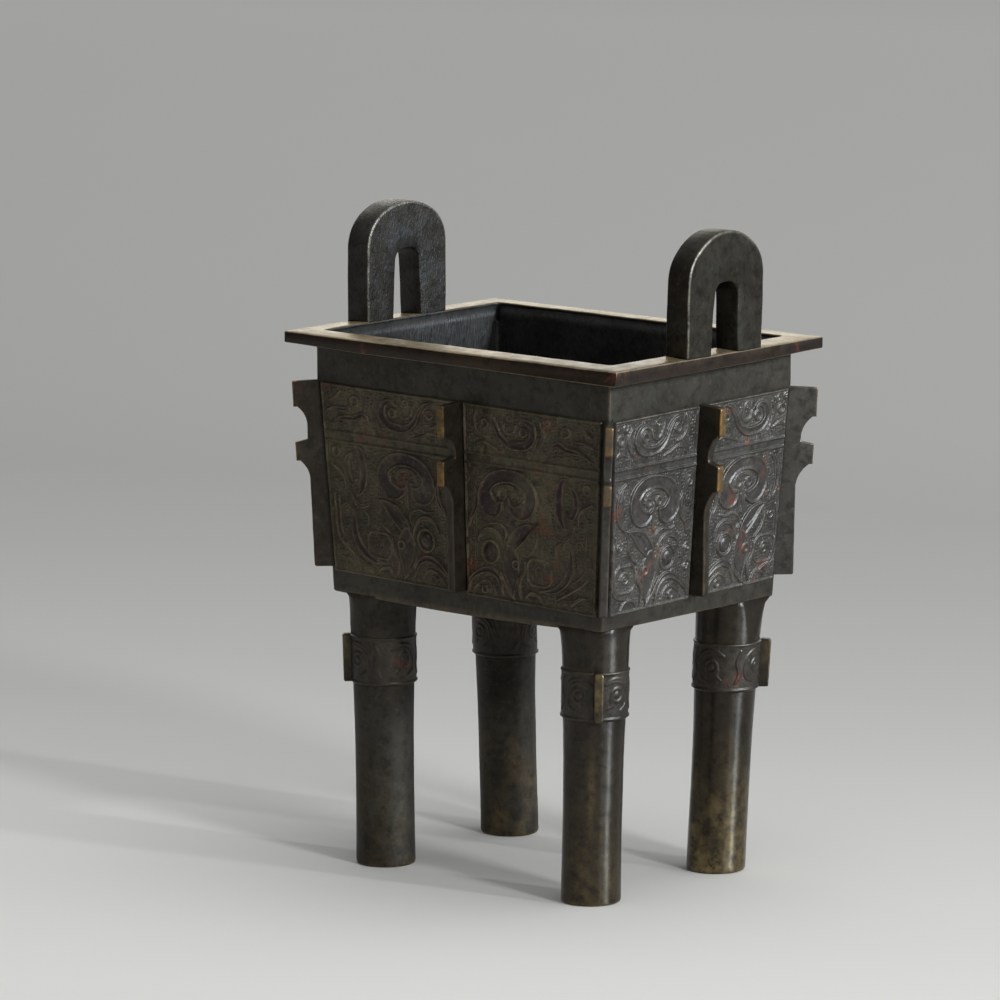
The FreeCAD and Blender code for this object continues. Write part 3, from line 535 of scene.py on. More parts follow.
def bronze(name, tone, deep, rough, smooth_tone=None, patch=None, worn_and_lit_tone=(0.26, 0.17, 0.08), red=0.0,
           scratches=0.0, scratch_axis=(1, 1, 0.05), grain=0.5, gloss=0.3, turned=False,
           wear_spread=(0.34, 0.62)):
    """Patinated bronze: a mottled dark skin over metal that shows where it is worn, and where highlights are
    painted in through the same channel.
    """
    material = bpy.data.materials.new(name)
    material.use_nodes = True
    material.node_tree.nodes.clear()
    g = Graph(material.node_tree)

    colour = g.mix(g.remap(g.noise(36, 5, 0.6), 0.36, 0.64), deep, tone)
    if patch:
        colour = g.mix(g.remap(g.noise(90, 6, 0.65, distortion=0.6), 0.5, 0.7, 0.0, 0.8), colour, patch)
    if smooth_tone:
        colour = g.mix(g.times(g.field("form"), g.remap(g.noise(60, 4), 0.3, 0.55)), colour, smooth_tone)
    pale = tuple(c * 2.0 for c in tone)
    dim = tuple(c * 0.4 for c in deep)
    colour = g.mix(g.remap(g.noise(640, 4, 0.65), 0.54, 0.8, 0.0, 0.55), colour, pale)
    colour = g.mix(g.remap(g.noise(300, 5, 0.7), 0.52, 0.36, 0.0, 0.6), colour, dim)
    if red:
        blotch = g.remap(g.noise(75, 4, 0.6, distortion=0.5), 0.61, 0.67)
        speck = g.remap(g.noise(420, 3, 0.6), 0.38, 0.52)
        low = g.remap(g.field("relief"), 0.9, 0.5)
        colour = g.mix(g.times(g.times(blotch, speck), g.times(low, red)), colour, RED)
    # Where the wear channel is high, the colour turns to the pale worn tone. That is worn metal, and on some
    # pieces it is also a painted highlight or painted reflection.
    worn = g.times(g.field("wear"), g.remap(g.noise(260, 5, 0.7), *wear_spread))
    colour = g.mix(worn, colour, worn_and_lit_tone)

    dents_and_pits = g.plus(g.times(g.noise(190, 3, 0.5), 0.8), g.times(g.noise(560, 5, 0.7), 0.5))
    height = g.plus(g.times(dents_and_pits, 0.5), g.times(g.noise(1700, 3, 0.6), 0.22))
    if scratches:
        stretched = g.add("ShaderNodeMapping", "Vector", {"Vector": g.coords["Object"], "Scale": scratch_axis,
                                                          "Rotation": (0.45, 0.0, 0.1)})
        lines = g.noise(1500, 3, 0.6, vector=stretched)
        height = g.plus(g.times(height, 0.6), g.times(lines, scratches))
    bumps = {"Strength": grain, "Distance": BUMP_DEPTH, "Height": height}
    surface = {"Base Color": colour, "Metallic": METALLIC, "Specular IOR Level": gloss,
               "Roughness": g.remap(g.noise(150, 6, 0.65), 0.3, 0.7, rough - 0.07, rough + 0.11),
               "Normal": g.add("ShaderNodeBump", "Normal", bumps)}
    if turned:
        tangent = g.add("ShaderNodeTangent", "Tangent", {}, direction_type="RADIAL", axis="Z")
        surface.update({"Anisotropic": 0.9, "Anisotropic Rotation": 0.25, "Tangent": tangent})
    output = g.tree.nodes.new("ShaderNodeOutputMaterial")
    g.fill(output.inputs["Surface"], g.add("ShaderNodeBsdfPrincipled", "BSDF", surface))
    return material


front_bronze = bronze("front_bronze", (0.094, 0.081, 0.050), (0.036, 0.031, 0.020), 0.44,
                      smooth_tone=(0.025, 0.016, 0.016), patch=(0.056, 0.040, 0.034),
                      worn_and_lit_tone=(0.17, 0.13, 0.075), red=0.4, grain=0.9)
side_bronze = bronze("side_bronze", (0.066, 0.061, 0.052), (0.034, 0.031, 0.026), 0.45,
                     smooth_tone=(0.040, 0.034, 0.031), patch=(0.046, 0.040, 0.038),
                     worn_and_lit_tone=(0.19, 0.16, 0.12), red=0.7, grain=0.8, gloss=0.36)
shell_bronze = bronze("shell_bronze", (0.044, 0.039, 0.029), (0.025, 0.022, 0.017), 0.42,
                      patch=(0.042, 0.042, 0.031))
inner_bronze = bronze("inner_bronze", (0.034, 0.034, 0.033), (0.014, 0.013, 0.012), 0.48,
                      scratches=0.9, scratch_axis=(1, 1, 0.25), grain=0.7, gloss=0.36)
rim_bronze = bronze("rim_bronze", (0.031, 0.018, 0.010), (0.014, 0.009, 0.006), 0.36,
                    worn_and_lit_tone=(0.35, 0.28, 0.17), wear_spread=(0.18, 0.54), red=0.6,
                    scratches=0.2, scratch_axis=(0.1, 1, 1), grain=0.4)
ear_bronze = bronze("ear_bronze", (0.034, 0.031, 0.026), (0.016, 0.013, 0.010), 0.38,
                    patch=(0.040, 0.043, 0.045), worn_and_lit_tone=(0.34, 0.31, 0.25),
                    scratches=0.9, scratch_axis=(1, 1, 0.35), grain=0.8, gloss=0.28)
brown_ear_bronze = bronze("brown_ear_bronze", (0.032, 0.028, 0.020), (0.012, 0.009, 0.006), 0.42,
                          patch=(0.028, 0.030, 0.024), worn_and_lit_tone=(0.34, 0.31, 0.25),
                          scratches=0.5, scratch_axis=(1, 1, 0.35), grain=0.6, gloss=0.16)
# Two copies of the flange bronze. The first is painted darker for the flanges whose seen sides lie in shade.
# The second is painted lighter and greyer for the corner flanges that catch light.
flange_bronze = bronze("flange_bronze", (0.038, 0.032, 0.023), (0.020, 0.016, 0.012), 0.40,
                       worn_and_lit_tone=(0.19, 0.11, 0.035), gloss=0.25)
flange_grey_painted_lit = bronze("flange_grey_painted_lit", (0.062, 0.059, 0.052), (0.036, 0.034, 0.030), 0.38,
                     worn_and_lit_tone=(0.13, 0.08, 0.035))
leg_bronze = bronze("leg_bronze", (0.032, 0.027, 0.020), (0.015, 0.012, 0.009), 0.36,
                    patch=(0.040, 0.030, 0.018), worn_and_lit_tone=(0.20, 0.15, 0.07), grain=0.3, turned=True)
dull_leg_bronze = bronze("dull_leg_bronze", (0.038, 0.035, 0.028), (0.018, 0.016, 0.013), 0.50,
                         patch=(0.040, 0.030, 0.018), worn_and_lit_tone=(0.20, 0.14, 0.06), grain=0.4, gloss=0.2)
collar_bronze = bronze("collar_bronze", (0.044, 0.038, 0.029), (0.025, 0.021, 0.016), 0.42,
                       smooth_tone=(0.030, 0.024, 0.020), worn_and_lit_tone=(0.15, 0.11, 0.065), red=0.4)


# The box: one skin over the four walls, with a rounded corner and a slightly bowed front edge

FRONT_BOW = 1.4
CORNER_ROUND = 1.0


def box_shell():
    cuts = ((80, 60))
    heights = np.concatenate([[BASE_Z, BASE_Z + 0.12, BASE_Z + 0.4],
                              np.linspace(BASE_Z + 1, SHOULDER_Z - 1, 60),
                              [SHOULDER_Z, SHOULDER_Z + 1], np.linspace(SHOULDER_Z + 2, RIM_FOOT, 8)])

    def loop(z, inset):
        ring = rounded_rectangle(float(half(0, z)) - inset, float(half(1, z)) - inset, CORNER_ROUND, *cuts)
        return np.column_stack([ring, np.full(len(ring), z)])

    outside = [loop(z, 0.6 * (0.4 - min(0.4, z - BASE_Z))) for z in heights]
    inside = [loop(z, WALL) for z in np.append(heights, RIM_TOP - 0.75)[::-1]]
    stack = np.array(outside + inside)
    inner = (np.arange(len(stack)) >= len(outside))[:, None]
    x, y, z = stack[..., 0], stack[..., 1], stack[..., 2]
    front = ease((-y - BASE[1] + 6) / 6) * ease((PANEL_FOOT - z) / 6)
    z -= front * FRONT_BOW * np.clip(1 - (x / BASE[0]) ** 2, 0, 1)
    dent = 0.09 * waves(x, y, z, 34, 3) + 0.04 * waves(x, y, z, 9, 4)
    x += np.sign(x) * dent * (np.abs(x) > half(0, z) - 3)
    y += np.sign(y) * dent * (np.abs(y) > half(1, z) - 3)
    corner = ease(1 - np.hypot(np.abs(x) - half(0, z), np.abs(y) - half(1, z)) / 1.1)
    wear = np.where(inner, 0, 0.22 * corner + 0.2 * ease(1 - (z - BASE_Z)))
    piece = loop_skin("box_shell", stack, shell_bronze, wear, inner)
    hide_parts("wall_front", "wall_back", "wall_left", "wall_right")


box_shell()


# Half panels on the four walls

RELIEFS = {
    "front_left": panel_relief(0, 1.0, 11),
    "front_right": panel_relief(0, -2.0, 12),
    "side_near": panel_relief(1, 0.0, 13),
    "side_far": panel_relief(1, 0.7, 14),
}
for wall, axis, sign, low_source, high_source in (("front", 0, -1, "front_left", "front_right"),
                                                  ("back", 0, 1, "front_right", "front_left"),
                                                  ("right", 1, 1, "side_near", "side_far"),
                                                  ("left", 1, -1, "side_far", "side_near")):
    for side, word, source in ((-1, "low", low_source), (1, "high", high_source)):
        panel_piece(f"panel_{wall}_{word}", axis, sign, side, RELIEFS[source],
                    front_bronze if axis == 0 else side_bronze)


# Rim: a lip with softly rounded edges, thicker at the near corner

RIM_FALL = 0.45
MOUTH_ROUND = 2.0


def rim():
    cuts = ((110, 84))
    outer = rounded_rectangle(RIM_HIGH[0], RIM_HIGH[1], 0.35, *cuts)
    mouth = NECK - WALL - 0.15
    inner = np.clip(outer * (mouth / RIM_HIGH[:2]), -mouth, mouth)
    gap = np.abs(inner) - (mouth - MOUTH_ROUND)
    near = (gap > 0).all(axis=1)[:, None]
    pull = np.minimum(1, MOUTH_ROUND / np.maximum(np.hypot(*gap.T), 1e-6))[:, None]
    inner = np.sign(inner) * np.where(near, mouth - MOUTH_ROUND + gap * pull, np.abs(inner))
    lobe = ease(1 - np.hypot(outer[:, 0] - RIM_HIGH[0], outer[:, 1] + RIM_HIGH[1]) / 90)
    side = ease(1 - np.hypot(np.abs(outer[:, 0]) - RIM_HIGH[0], np.abs(outer[:, 1]) - RIM_HIGH[1]) / 40)
    under = RIM_FOOT - 0.45 * lobe + 0.75 * side * (1 - lobe)
    neck = (RIM_HIGH[0] - NECK[0]) / (RIM_HIGH[0] - mouth[0])
    profile = []
    for share, z_share, drop in ((0, 0.08, 0), (0, 0.5, 0), (0, 0.91, 0), (0.012, 0.965, 0), (0.04, 1, 0),
                                 (0.3, 1, 0), (0.6, 1, 0), (0.92, 1, 0), (0.975, 0.985, 0), (1, 0.93, 0),
                                 (1, 0.82, 0), (0.965, 0.74, 0), (0.965, 0, 1.5), (neck + 0.04, 0, 1.5),
                                 (neck + 0.03, 0, 0), (0.3, 0, 0), (0.05, 0, 0), (0.015, 0.03, 0)):
        xy = outer + (inner - outer) * share
        crown = RIM_TOP - RIM_FALL * (1 - share)
        inward = ease((share - 0.5) / 0.2)
        low = under * (1 - inward) + RIM_FOOT * inward
        profile.append(np.column_stack([xy, low + (crown - low) * z_share - drop]))
    stack = np.stack(profile, axis=1)
    x, y, z = stack[..., 0], stack[..., 1], stack[..., 2]
    z -= np.abs(0.10 * waves(x, y, 0, 60, 21) + 0.06 * waves(x, y, 0, 11, 22)) * (z > RIM_TOP - 1.2)
    nick = 0.05 * waves(x, y, z, 6, 24) + 0.08 * waves(x, y, 0, 40, 23)
    x += np.sign(x) * nick * (np.abs(x) > RIM_HIGH[0] - 0.8)
    y += np.sign(y) * nick * (np.abs(y) > RIM_HIGH[1] - 0.8)
    # Columns 3 and 17 are the outer edges, 4 to 8 the top, and 9 to 12 face the basin
    # Worn metal along the lip's outer edges and top. On the top and its outer upper edge, the same pale tone
    # is also a painted reflection, made weaker towards the near corner.
    wear = np.zeros(stack.shape[:2])
    wear[:, 3] = 0.9
    wear[:, 4:9] = 0.74 - 0.42 * lobe[:, None] + 0.12 * waves(x, y, 0, 25, 25)[:, 4:9]
    wear[:, 17] = 0.45
    columns = np.arange(stack.shape[1])
    piece = loop_skin("rim_lip", stack, rim_bronze, wear, (columns >= 9) & (columns < 13))
    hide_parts("rim_frame")


rim()


# Ears: arched loops with rounded edges

EAR_PROFILE = ((0, .06), (0, .5), (0, .94), (.01, .98), (.035, 1), (.07, 1), (.35, 1), (.7, 1), (.97, 1),
               (.99, .98), (1, .95), (1, .5), (1, .05), (.99, .02), (.97, 0), (.7, 0), (.35, 0), (.07, 0),
               (.035, 0), (.01, .02))


def arch_outline(half_width, spring, corner, top, count):
    """Up one side, over a three-centre arch and down the other, as (y, z) rows."""
    rise = top - spring
    flank = half_width - corner
    crown = (rise ** 2 + flank ** 2 - corner ** 2) / (2 * (rise - corner))
    centre = top - crown
    points = [(-half_width, RIM_TOP - 0.5), (-half_width, spring)]
    meet = math.atan2(spring - centre, -flank)
    for angle in np.linspace(math.pi, meet, 14)[1:]:
        points.append((-flank + corner * math.cos(angle), spring + corner * math.sin(angle)))
    for angle in np.linspace(meet, math.pi - meet, 14)[1:]:
        points.append((crown * math.cos(angle), centre + crown * math.sin(angle)))
    points += [(-y, z) for y, z in points[:14][::-1]]
    return evenly(points, count)


def slot_outline(half_width, corner, top, count):
    """The slot narrows a little towards its top."""
    narrow = half_width * 0.84
    points = [(-half_width, RIM_TOP - 0.5), (-narrow, top - corner)]
    for angle in np.linspace(math.pi, math.pi / 2, 8)[1:]:
        points.append((-narrow + corner * (1 + math.cos(angle)), top - corner * (1 - math.sin(angle))))
    points += [(-y, z) for y, z in points[::-1]]
    return evenly(points, count)


def ear(name, sign, half_width, place, lean, top, seed, material):
    """place and lean move the ear along its rim, at its foot and in all at its top."""
    count = 150
    outer = arch_outline(half_width, RIM_TOP + 25.1, 14.0, top, count)
    inner = slot_outline(7.2, 4.4, RIM_TOP + 24.0, count)
    x_in = NECK[0] - WALL
    thick = RIM_HIGH[0] - x_in
    loops = [np.column_stack([np.full(count, x_in + thick * depth), outer + (inner - outer) * across])
             for across, depth in EAR_PROFILE]
    stack = np.stack(loops, axis=1)
    x, y, z = stack[..., 0], stack[..., 1], stack[..., 2]
    rise = (z - RIM_TOP) / (EAR_TOP - RIM_TOP)
    uneven = 0.22 * waves(x * 0.3, y, z, 24, seed) + 0.09 * waves(x, y, z, 8, seed + 3)
    y += uneven * np.where(np.abs(y) < 9, 1.3, 0.6) * ease(rise * 4)
    x += 0.12 * waves(x, y, z, 20, seed + 1) * ease(rise * 4)
    z -= 0.2 * np.abs(waves(x, y, z, 18, seed + 2)) * ease(rise * 2 - 1)
    y += place + (lean - place) * rise
    x *= sign
    # Painted highlights: pale lines along the arch's two outer edges (columns 3, 4, 18 and 19), carried in
    # the wear channel.
    wear = np.zeros(stack.shape[:2])
    wear[:, [3, 19]] = 0.6
    wear[:, [4, 18]] = 0.3
    faces = capped_tube(*stack.shape[:2], flip=sign < 0)
    piece = new_piece(f"{name}_loop", stack.reshape(-1, 3), faces, material, wear=wear)
    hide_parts(name)


ear("ear_right", 1, 20.1, 1.9, 3.3, EAR_TOP, 31, brown_ear_bronze)
ear("ear_left", -1, 20.8, -2.2, -2.4, EAR_TOP - 0.8, 35, ear_bronze)


# Legs, collars and ribs; each leg follows its own slight lean

LEGS = {
    "front_left": (-1, -1, (-47.0, -33.75), (-47.85, -34.65)),
    "front_right": (1, -1, (46.4, -34.3), (49.05, -35.3)),
    "back_right": (1, 1, (46.95, 33.7), (50.65, 35.7)),
    "back_left": (-1, 1, (-47.1, 33.7), (-50.6, 33.8)),
}
LEG_PROFILE = ((0.0, 10.35), (12, 10.28), (30, 10.2), (50, 10.35), (64.8, 10.75), (81.9, 11.25), (90, 11.6),
               (94.5, 12.0), (96.0, 12.6), (96.8, 13.4))
COLLAR = (64.8, 81.9)
COLLAR_RADIUS = 11.7
COLLAR_REPEAT = 18.2
COLLAR_STROKES = (
    ([(2.6, 77.6, .5), (6, 79, 1), (10.4, 77.8, 1.1), (12.4, 74.2, 1), (12, 70.2, .8), (8.8, 68.2, .4)], 0.5),
    ([(14.6, 79.2, .4), (15.6, 75.4, .9), (14.8, 71.2, .9), (16.4, 68.0, .4)], 0.48),
    ([(3.4, 69.2, .4), (5.2, 70.6, .8), (4.4, 72.8, .4)], 0.45),
)
RIB_MIDDLE = 73.0


def leg_centre(name, z):
    foot, joint = np.array(LEGS[name][2]), np.array(LEGS[name][3])
    return foot + (joint - foot) * (np.asarray(z)[..., None] / BASE_Z)


def round_leg(name, radius, angle, z):
    """Points at a radius round a leg's own middle line."""
    centre = leg_centre(name, z)
    return np.stack([centre[..., 0] + radius * np.cos(angle), centre[..., 1] + radius * np.sin(angle), z], -1)


def leg(name, seed, brass):
    """brass: how much bare metal shows on the lower part."""
    cols = 96
    heights = np.concatenate([[0, 0.08, 0.3, 0.65, 1.2], np.linspace(3, BASE_Z, 50)])
    z, a = np.meshgrid(heights, np.linspace(0, 2 * math.pi, cols, endpoint=False), indexing="ij")
    x_share, y_share = np.cos(a) * 10, np.sin(a) * 10
    foot = np.clip(1 - z / 1.2, 0, 1)
    radius = np.interp(z, *zip(*LEG_PROFILE)) - 1.2 * (1 - np.sqrt(1 - foot ** 2))
    radius += 0.08 * waves(x_share, y_share, z, 30, seed) + 0.02 * waves(x_share, y_share, z, 5, seed + 9)
    verts = round_leg(name, radius, a, z)
    limit = BASE + 0.15
    verts[..., :2] = np.clip(verts[..., :2], -limit, limit)
    cloud = 0.6 + 0.5 * waves(x_share, y_share, z * 0.5, 12, seed + 4)
    wear = 0.5 * ease(1 - z / 1.6) + brass * ease(1 - z / 58) * cloud
    # Painted glint: a bright patch on the front right leg, facing the camera at mid height, added to the wear
    # channel.
    if name == "front_right":
        wear += 0.4 * np.exp(-((a - math.radians(306)) / 0.12) ** 2 - ((z - 40) / 12) ** 2)
    piece = new_piece(f"leg_{name}_turned", verts.reshape(-1, 3), capped_tube(len(heights), cols),
                      leg_bronze if name.endswith("right") else dull_leg_bronze, wear=np.clip(wear, 0, 1))
    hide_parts(f"leg_{name}")


def collar(name, seed):
    sx, sy = LEGS[name][:2]
    low, high = COLLAR
    step = 0.24
    girth = 2 * math.pi * COLLAR_RADIUS
    cols = int(girth / step)
    s, z = np.meshgrid((np.arange(cols) / cols - 0.5) * girth, np.arange(low, high + step / 2, step))
    r = Relief(s, z, 0.07 * thunder_ground(s + 40, z, 2.9, 0.95))
    for side in (-1, 1):
        for start in (0, COLLAR_REPEAT):
            eye = (side * (7.2 + start), 73.8)
            r.ring(eye, 2.3, 0.55, 0.5)
            r.dome(eye, 1.3, 0.6)
            for rows, height in COLLAR_STROKES:
                r.stroke([(side * (u + start), v, width) for u, v, width in rows], height)
    h = r.height
    h = np.maximum(h, 0.55 * ease((0.5 - np.abs(z - low - 0.7)) / 0.3 + 0.3))
    h = np.maximum(h, 0.45 * ease((0.45 - np.abs(z - high + 0.6)) / 0.3 + 0.3))
    h = h * (0.85 + 0.15 * waves(s, z, 0, 12, seed)) + 0.03 * waves(s, z, 0, 3, seed + 1)
    edge = np.minimum(z - low, high - z)
    radius = 11.45 + 0.1 * (z - low) / (high - low) + h * 0.75 * ease(edge / 0.4)
    radius = np.where(edge < 0.3, radius - 0.25 * (1 - edge / 0.3), radius)
    outer = round_leg(name, radius, math.atan2(sy, sx) + s / COLLAR_RADIUS, z)
    inner = outer[[-1, 0]]
    centre = leg_centre(name, z[[-1, 0]])
    inner[..., :2] = centre + (inner[..., :2] - centre) * (10.0 / 11.4)
    stack = np.concatenate([outer, inner])
    extra = np.zeros(2 * cols)
    piece = new_piece(f"collar_{name}_band", stack.reshape(-1, 3), quads(len(stack), cols, True, True),
                      collar_bronze, relief=np.append(h * 1.2, extra), form=np.append(r.form, extra),
                      wear=np.append(0.3 * ease(1 - edge / 0.8), extra))
    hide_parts(f"collar_{name}")


# Plates: the edge's profile is (how far it lies in, where it lies between the two faces)

EDGE_ROUND = 0.45
EDGE_PROFILE = ((1, -1), (0.3, -0.9), (0.06, -0.72), (0, -0.4), (0, 0.4), (0.06, 0.72), (0.3, 0.9), (1, 1))


def plate(name, outline, thickness, turn, origin, material, wear_of):
    """A flat plate from a closed outline (x, y) in its own frame, with rounded edges."""
    forward = unit(np.roll(outline, -1, 0) - outline)
    backward = unit(outline - np.roll(outline, 1, 0))
    tangent = unit(forward + backward)
    x, y = outline.T
    area = np.sum(x * np.roll(y, -1) - np.roll(x, -1) * y)
    inward = np.column_stack([-tangent[:, 1], tangent[:, 0]]) * (1 if area > 0 else -1)
    loops = []
    for inset, side in EDGE_PROFILE:
        x, y = (outline + inward * inset * EDGE_ROUND).T
        loops.append(np.column_stack([x, np.full(len(x), side * thickness / 2), y]))
    points = np.vstack(loops)
    faces = capped_tube(len(loops), len(outline), flip=area > 0)
    piece = new_piece(name, points @ np.array(turn) + origin, faces, material, wear=wear_of(points))
    polygons = piece.data.polygons
    polygons.foreach_set("use_smooth", [len(face.vertices) == 4 for face in polygons])
    return piece


def dense(points, step=0.8):
    """Extra points along the straight runs of an outline, so that its edges can waver."""
    lengths = [math.dist(a, b) for a, b in zip(points, points[1:] + points[:1])]
    return cut_up(points, [max(1, int(length / step)) for length in lengths])


def rib(name, reach):
    low, high = COLLAR
    outward = np.array([*LEGS[name][:2], 0]) / math.sqrt(2)
    across = np.array([-outward[1], outward[0], 0])
    origin = np.append(leg_centre(name, RIB_MIDDLE), 0)
    slope = (leg_centre(name, high) - leg_centre(name, low)) @ outward[:2] / (high - low)

    def at(r, z):
        return r + slope * (z - RIB_MIDDLE), z

    outline = dense([at(10.2, low + .1), at(reach - .5, low + .1), at(reach - .2, low + .5),
                     at(reach + .1, high - .6), at(reach - .3, high), at(10.2, high)])
    piece = plate(f"rib_{name}_bar", outline, 3.2, (outward, across, (0, 0, 1)), origin, leg_bronze,
                  lambda points: 0.6 * ease((points[:, 0] - reach + 0.8) / 0.8))
    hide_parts(f"rib_{name}")


for seed, (name, brass) in enumerate(zip(LEGS, (0.2, 0.3, 0.95, 0.4))):
    leg(name, 50 + seed, brass)
    collar(name, 60 + seed)
for name, reach in zip(LEGS, (14.2, 14.4, 15.2, 14.4)):
    rib(name, reach)


# Flanges: hooked plates; each has its own slightly different hooks, as cut by hand

FLANGE_FOOT = 104.3
FLANGE_ROOT = -8.0
HOOK_TIP = 1.3
HOOK_UNDERCUT = 0.4


def bow(start, end, radius, count=9):
    """Points of the arc under a hook, tangent to the upright at its end."""
    centre = np.array([end[0] + radius, end[1]])
    first = math.atan2(start[1] - centre[1], start[0] - centre[0])
    angles = np.linspace(first, math.pi, count)
    return [(centre[0] + radius * math.cos(a), centre[1] + radius * math.sin(a)) for a in angles]


def hook_outline(top, reach, waist, waist_z, upper_bow, lower_top, lower_reach, head, head_z, lower_bow,
                 slab):
    """A flange from its top down its outer edge; u is outward from the neck, z is height."""

    def under(outer, inner, inner_z, radius):
        run = outer - HOOK_UNDERCUT - HOOK_TIP - inner
        start = (run + inner, inner_z + math.sqrt(max(2 * radius * run - run ** 2, 0)))
        return [(outer - HOOK_UNDERCUT, start[1]), *bow(start, (inner, inner_z), radius)]

    points = [(FLANGE_ROOT, top), (reach - 0.35, top - 1.1), (reach, top - 1.5)]
    points += under(reach, waist, waist_z, upper_bow)
    points += [(waist, lower_top), (lower_reach - 0.3, lower_top - 1.0), (lower_reach, lower_top - 1.4)]
    points += under(lower_reach, head, head_z, lower_bow)
    points += [(slab, FLANGE_FOOT + 0.5), (slab - 0.4, FLANGE_FOOT), (FLANGE_ROOT, FLANGE_FOOT)]
    return dense(points, 0.9)


def flange(node, sx, sy, hooks, thickness, roots, seed, material, turned=0.0):
    """A flange along a corner or a wall's middle; roots are how far in it goes, at shoulder and base."""
    facing = math.atan2(sy, sx) + math.radians(turned)
    outward = np.array([math.cos(facing), math.sin(facing), 0])
    edge = np.array([sx * (NECK[0] - BASE[0]), sy * (NECK[1] - BASE[1]), SHOULDER_Z - BASE_Z])
    across = np.cross(edge, outward)
    across /= np.linalg.norm(across)
    outline = hook_outline(*hooks) - (0, SHOULDER_Z)
    u, z = outline.T
    u[:] = np.maximum(u, -np.interp(-z, [0, SHOULDER_Z - BASE_Z], roots))
    u += 0.06 * waves(u, z, 0, 9, seed) * (u > 0)
    lower_reach = hooks[6]

    def wear(points):
        """Bare metal on the outward faces of the hooks, and a thread of it along both edges."""
        side = np.abs(points[:, 1]) / np.abs(points[:, 1]).max()
        tip = ease((points[:, 0] - lower_reach + 0.9) / 0.5)
        return np.where(side > 0.95, 0.1 * tip, 0.95 * tip + 0.3 * np.exp(-((side - 0.8) / 0.12) ** 2))

    piece = plate(f"{node}_plate", outline, thickness, (outward, across, np.cross(outward, across)),
                  (sx * NECK[0], sy * NECK[1], SHOULDER_Z), material, wear)
    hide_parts(node)


for name, material, turned, hooks in (
        ("front_left", flange_bronze, 0, (171.2, 8.4, 3.1, 154.0, 8.6, 149.6, 7.4, 2.2, 134.5, 9.5, 1.0)),
        ("front_right", flange_grey_painted_lit, -4, (171.0, 8.9, 3.3, 152.4, 9.3, 151.0, 7.8, 1.8, 134.5, 10.3, 1.1)),
        ("back_right", flange_grey_painted_lit, 0, (171.1, 9.1, 3.3, 152.0, 9.3, 151.3, 7.9, 1.6, 134.5, 10.3, 1.25)),
        ("back_left", flange_grey_painted_lit, 0, (171.0, 8.7, 3.2, 153.0, 9.0, 150.4, 7.7, 1.9, 134.5, 10.0, 1.1))):
    flange(f"corner_flange_{name}", *LEGS[name][:2], hooks, 2.9, (1.2, 7.0), 70, material, turned)

LONG_WALL_HOOKS = (170.75, 10.8, 4.4, 152.0, 7.4, 151.3, 10.8, 5.8, 134.5, 10.0, 5.0)
SHORT_WALL_HOOKS = (170.9, 9.7, 4.3, 152.0, 10.5, 150.8, 8.7, 2.5, 130.5, 14.6, 2.34)
for name, sx, sy in (("front", 0, -1), ("back", 0, 1)):
    flange(f"mid_flange_{name}", sx, sy, LONG_WALL_HOOKS, 3.2, (0.8, 3.3), 80, flange_bronze)
for name, sx, sy in (("right", 1, 0), ("left", -1, 0)):
    flange(f"mid_flange_{name}", sx, sy, SHORT_WALL_HOOKS, 3.2, (0.8, 5.9), 80, flange_bronze)

floor_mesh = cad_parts["floor_plate"].data
floor_mesh.materials.clear()
floor_mesh.materials.append(inner_bronze)


# Stage: a pale floor that falls off to grey, soft studio light and the camera

STAGE_SIZE = 14.0
AWAY = (-0.3444, 0.939, 0)
FLOOR_TONES = ((-0.210, 0.735), (-0.137, 0.718), (-0.085, 0.700), (-0.009, 0.687), (0.076, 0.657),
               (0.178, 0.609), (0.234, 0.575), (0.332, 0.534), (0.428, 0.510), (0.575, 0.478), (0.748, 0.460),
               (0.993, 0.507), (1.419, 0.565), (2.037, 0.637), (2.816, 0.715))


def stage_floor():
    """A wide pale ground whose tone falls off with the distance behind the vessel."""
    mesh = bpy.data.meshes.new("studio_floor")
    corners = [(x * STAGE_SIZE, y * STAGE_SIZE, 0) for x, y in ((-1, -1), (1, -1), (1, 1), (-1, 1))]
    mesh.from_pydata(corners, [], [(0, 1, 2, 3)])
    floor = bpy.data.objects.new("studio_floor", mesh)
    bpy.context.scene.collection.objects.link(floor)
    material = bpy.data.materials.new("studio_floor")
    material.use_nodes = True
    g = Graph(material.node_tree)
    first, last = FLOOR_TONES[0][0], FLOOR_TONES[-1][0]
    ramp = g.tree.nodes.new("ShaderNodeValToRGB")
    g.fill(ramp.inputs["Fac"], g.remap(g.toward(g.coords["Object"], AWAY), first, last))
    stops = ramp.color_ramp.elements
    while len(stops) < len(FLOOR_TONES):
        stops.new(0.5)
    for stop, (place, tone) in zip(stops, FLOOR_TONES):
        stop.position = (place - first) / (last - first)
        stop.color = (tone, tone, tone * 0.975, 1)
    shader = g.tree.nodes["Principled BSDF"].inputs
    g.fill(shader["Base Color"], ramp.outputs["Color"])
    g.fill(shader["Roughness"], 0.8)
    g.fill(shader["Specular IOR Level"], 0.0)
    mesh.materials.append(material)


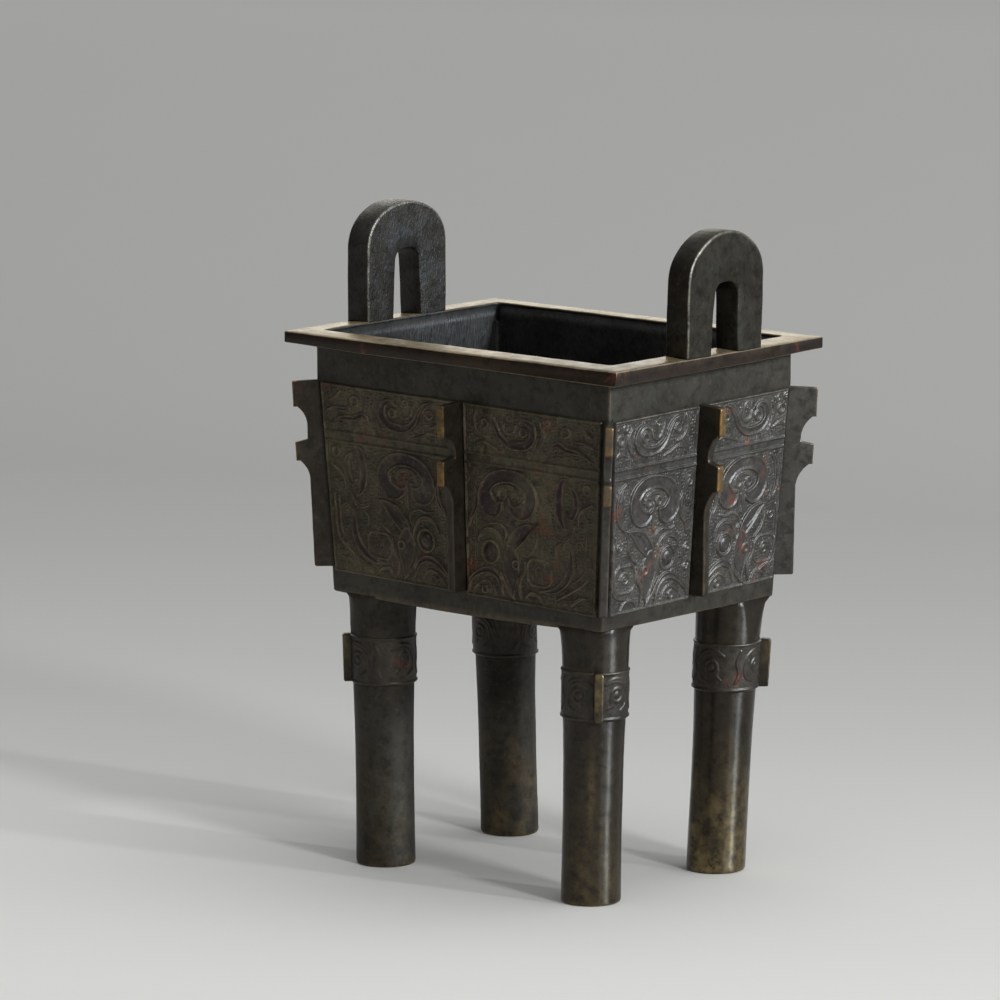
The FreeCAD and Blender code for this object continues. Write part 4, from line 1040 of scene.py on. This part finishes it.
def studio_world():
    """Soft grey surroundings, brighter on the right and above; the camera sees plain grey."""
    world = bpy.data.worlds.new("studio")
    bpy.context.scene.world = world
    world.use_nodes = True
    g = Graph(world.node_tree)
    background = g.tree.nodes["Background"]
    bright = g.toward(g.coords["Generated"], (0.36, 0.14, 0.92))
    g.fill(background.inputs["Color"], g.remap(bright, -0.3, 1.0, 0.06, 1.0))
    g.fill(background.inputs["Strength"], 0.60)
    plain = g.add("ShaderNodeBackground", "Background", {"Color": (0.377, 0.377, 0.370)})
    seen = g.add("ShaderNodeLightPath", "Is Camera Ray", {})
    blend = g.add("ShaderNodeMixShader", "Shader", {"Fac": seen, 1: background.outputs[0], 2: plain})
    g.fill(g.tree.nodes["World Output"].inputs["Surface"], blend)


stage_floor()
studio_world()

AIM = Vector((0, 0, 0.12))


def area_light(name, azimuth, elevation, distance, size, power, colour=(1, 1, 1), only_gloss=False):
    """A soft box; azimuth is measured from +X towards +Y."""
    light = bpy.data.lights.new(name, "AREA")
    light.shape = "RECTANGLE"
    light.size, light.size_y = size
    light.energy = power
    light.color = colour
    lamp = bpy.data.objects.new(name, light)
    a, e = math.radians(azimuth), math.radians(elevation)
    outward = Vector((math.cos(a) * math.cos(e), math.sin(a) * math.cos(e), math.sin(e)))
    lamp.location = outward * distance + AIM
    lamp.rotation_euler = (AIM - lamp.location).to_track_quat("-Z", "Y").to_euler()
    lamp.visible_diffuse = not only_gloss
    bpy.context.scene.collection.objects.link(lamp)


area_light("key", 8, 20, 3.0, (0.10, 0.10), 20)
area_light("top", 40, 78, 2.4, (1.8, 1.8), 18)
area_light("graze", -12, 24, 2.4, (0.3, 0.3), 22)
area_light("strip", 11, 22, 1.8, (0.12, 0.30), 78, (0.78, 0.90, 1.0), only_gloss=True)
area_light("back", 131, 17, 2.6, (3.4, 1.2), 26, (1.0, 0.96, 0.86), only_gloss=True)

camera_data = bpy.data.cameras.new("camera")
camera = bpy.data.objects.new("camera", camera_data)
bpy.context.scene.collection.objects.link(camera)
bpy.context.scene.camera = camera
camera_data.lens = 255.0
camera_data.sensor_width = 36.0
camera_data.clip_start = 0.05
camera_data.clip_end = 60
right = Vector((0.76422, 0.64495, 0.003))
up = Vector((-0.10904, 0.12462, 0.9862))
back = -Vector((-0.63567, 0.754, -0.16556))
turn = Matrix((right, up, back)).transposed().to_4x4()
camera.matrix_world = Matrix.Translation(Vector((1549.52, -1866.05, 536.74)) * MM) @ turn

bpy.context.scene.view_settings.view_transform = "Standard"
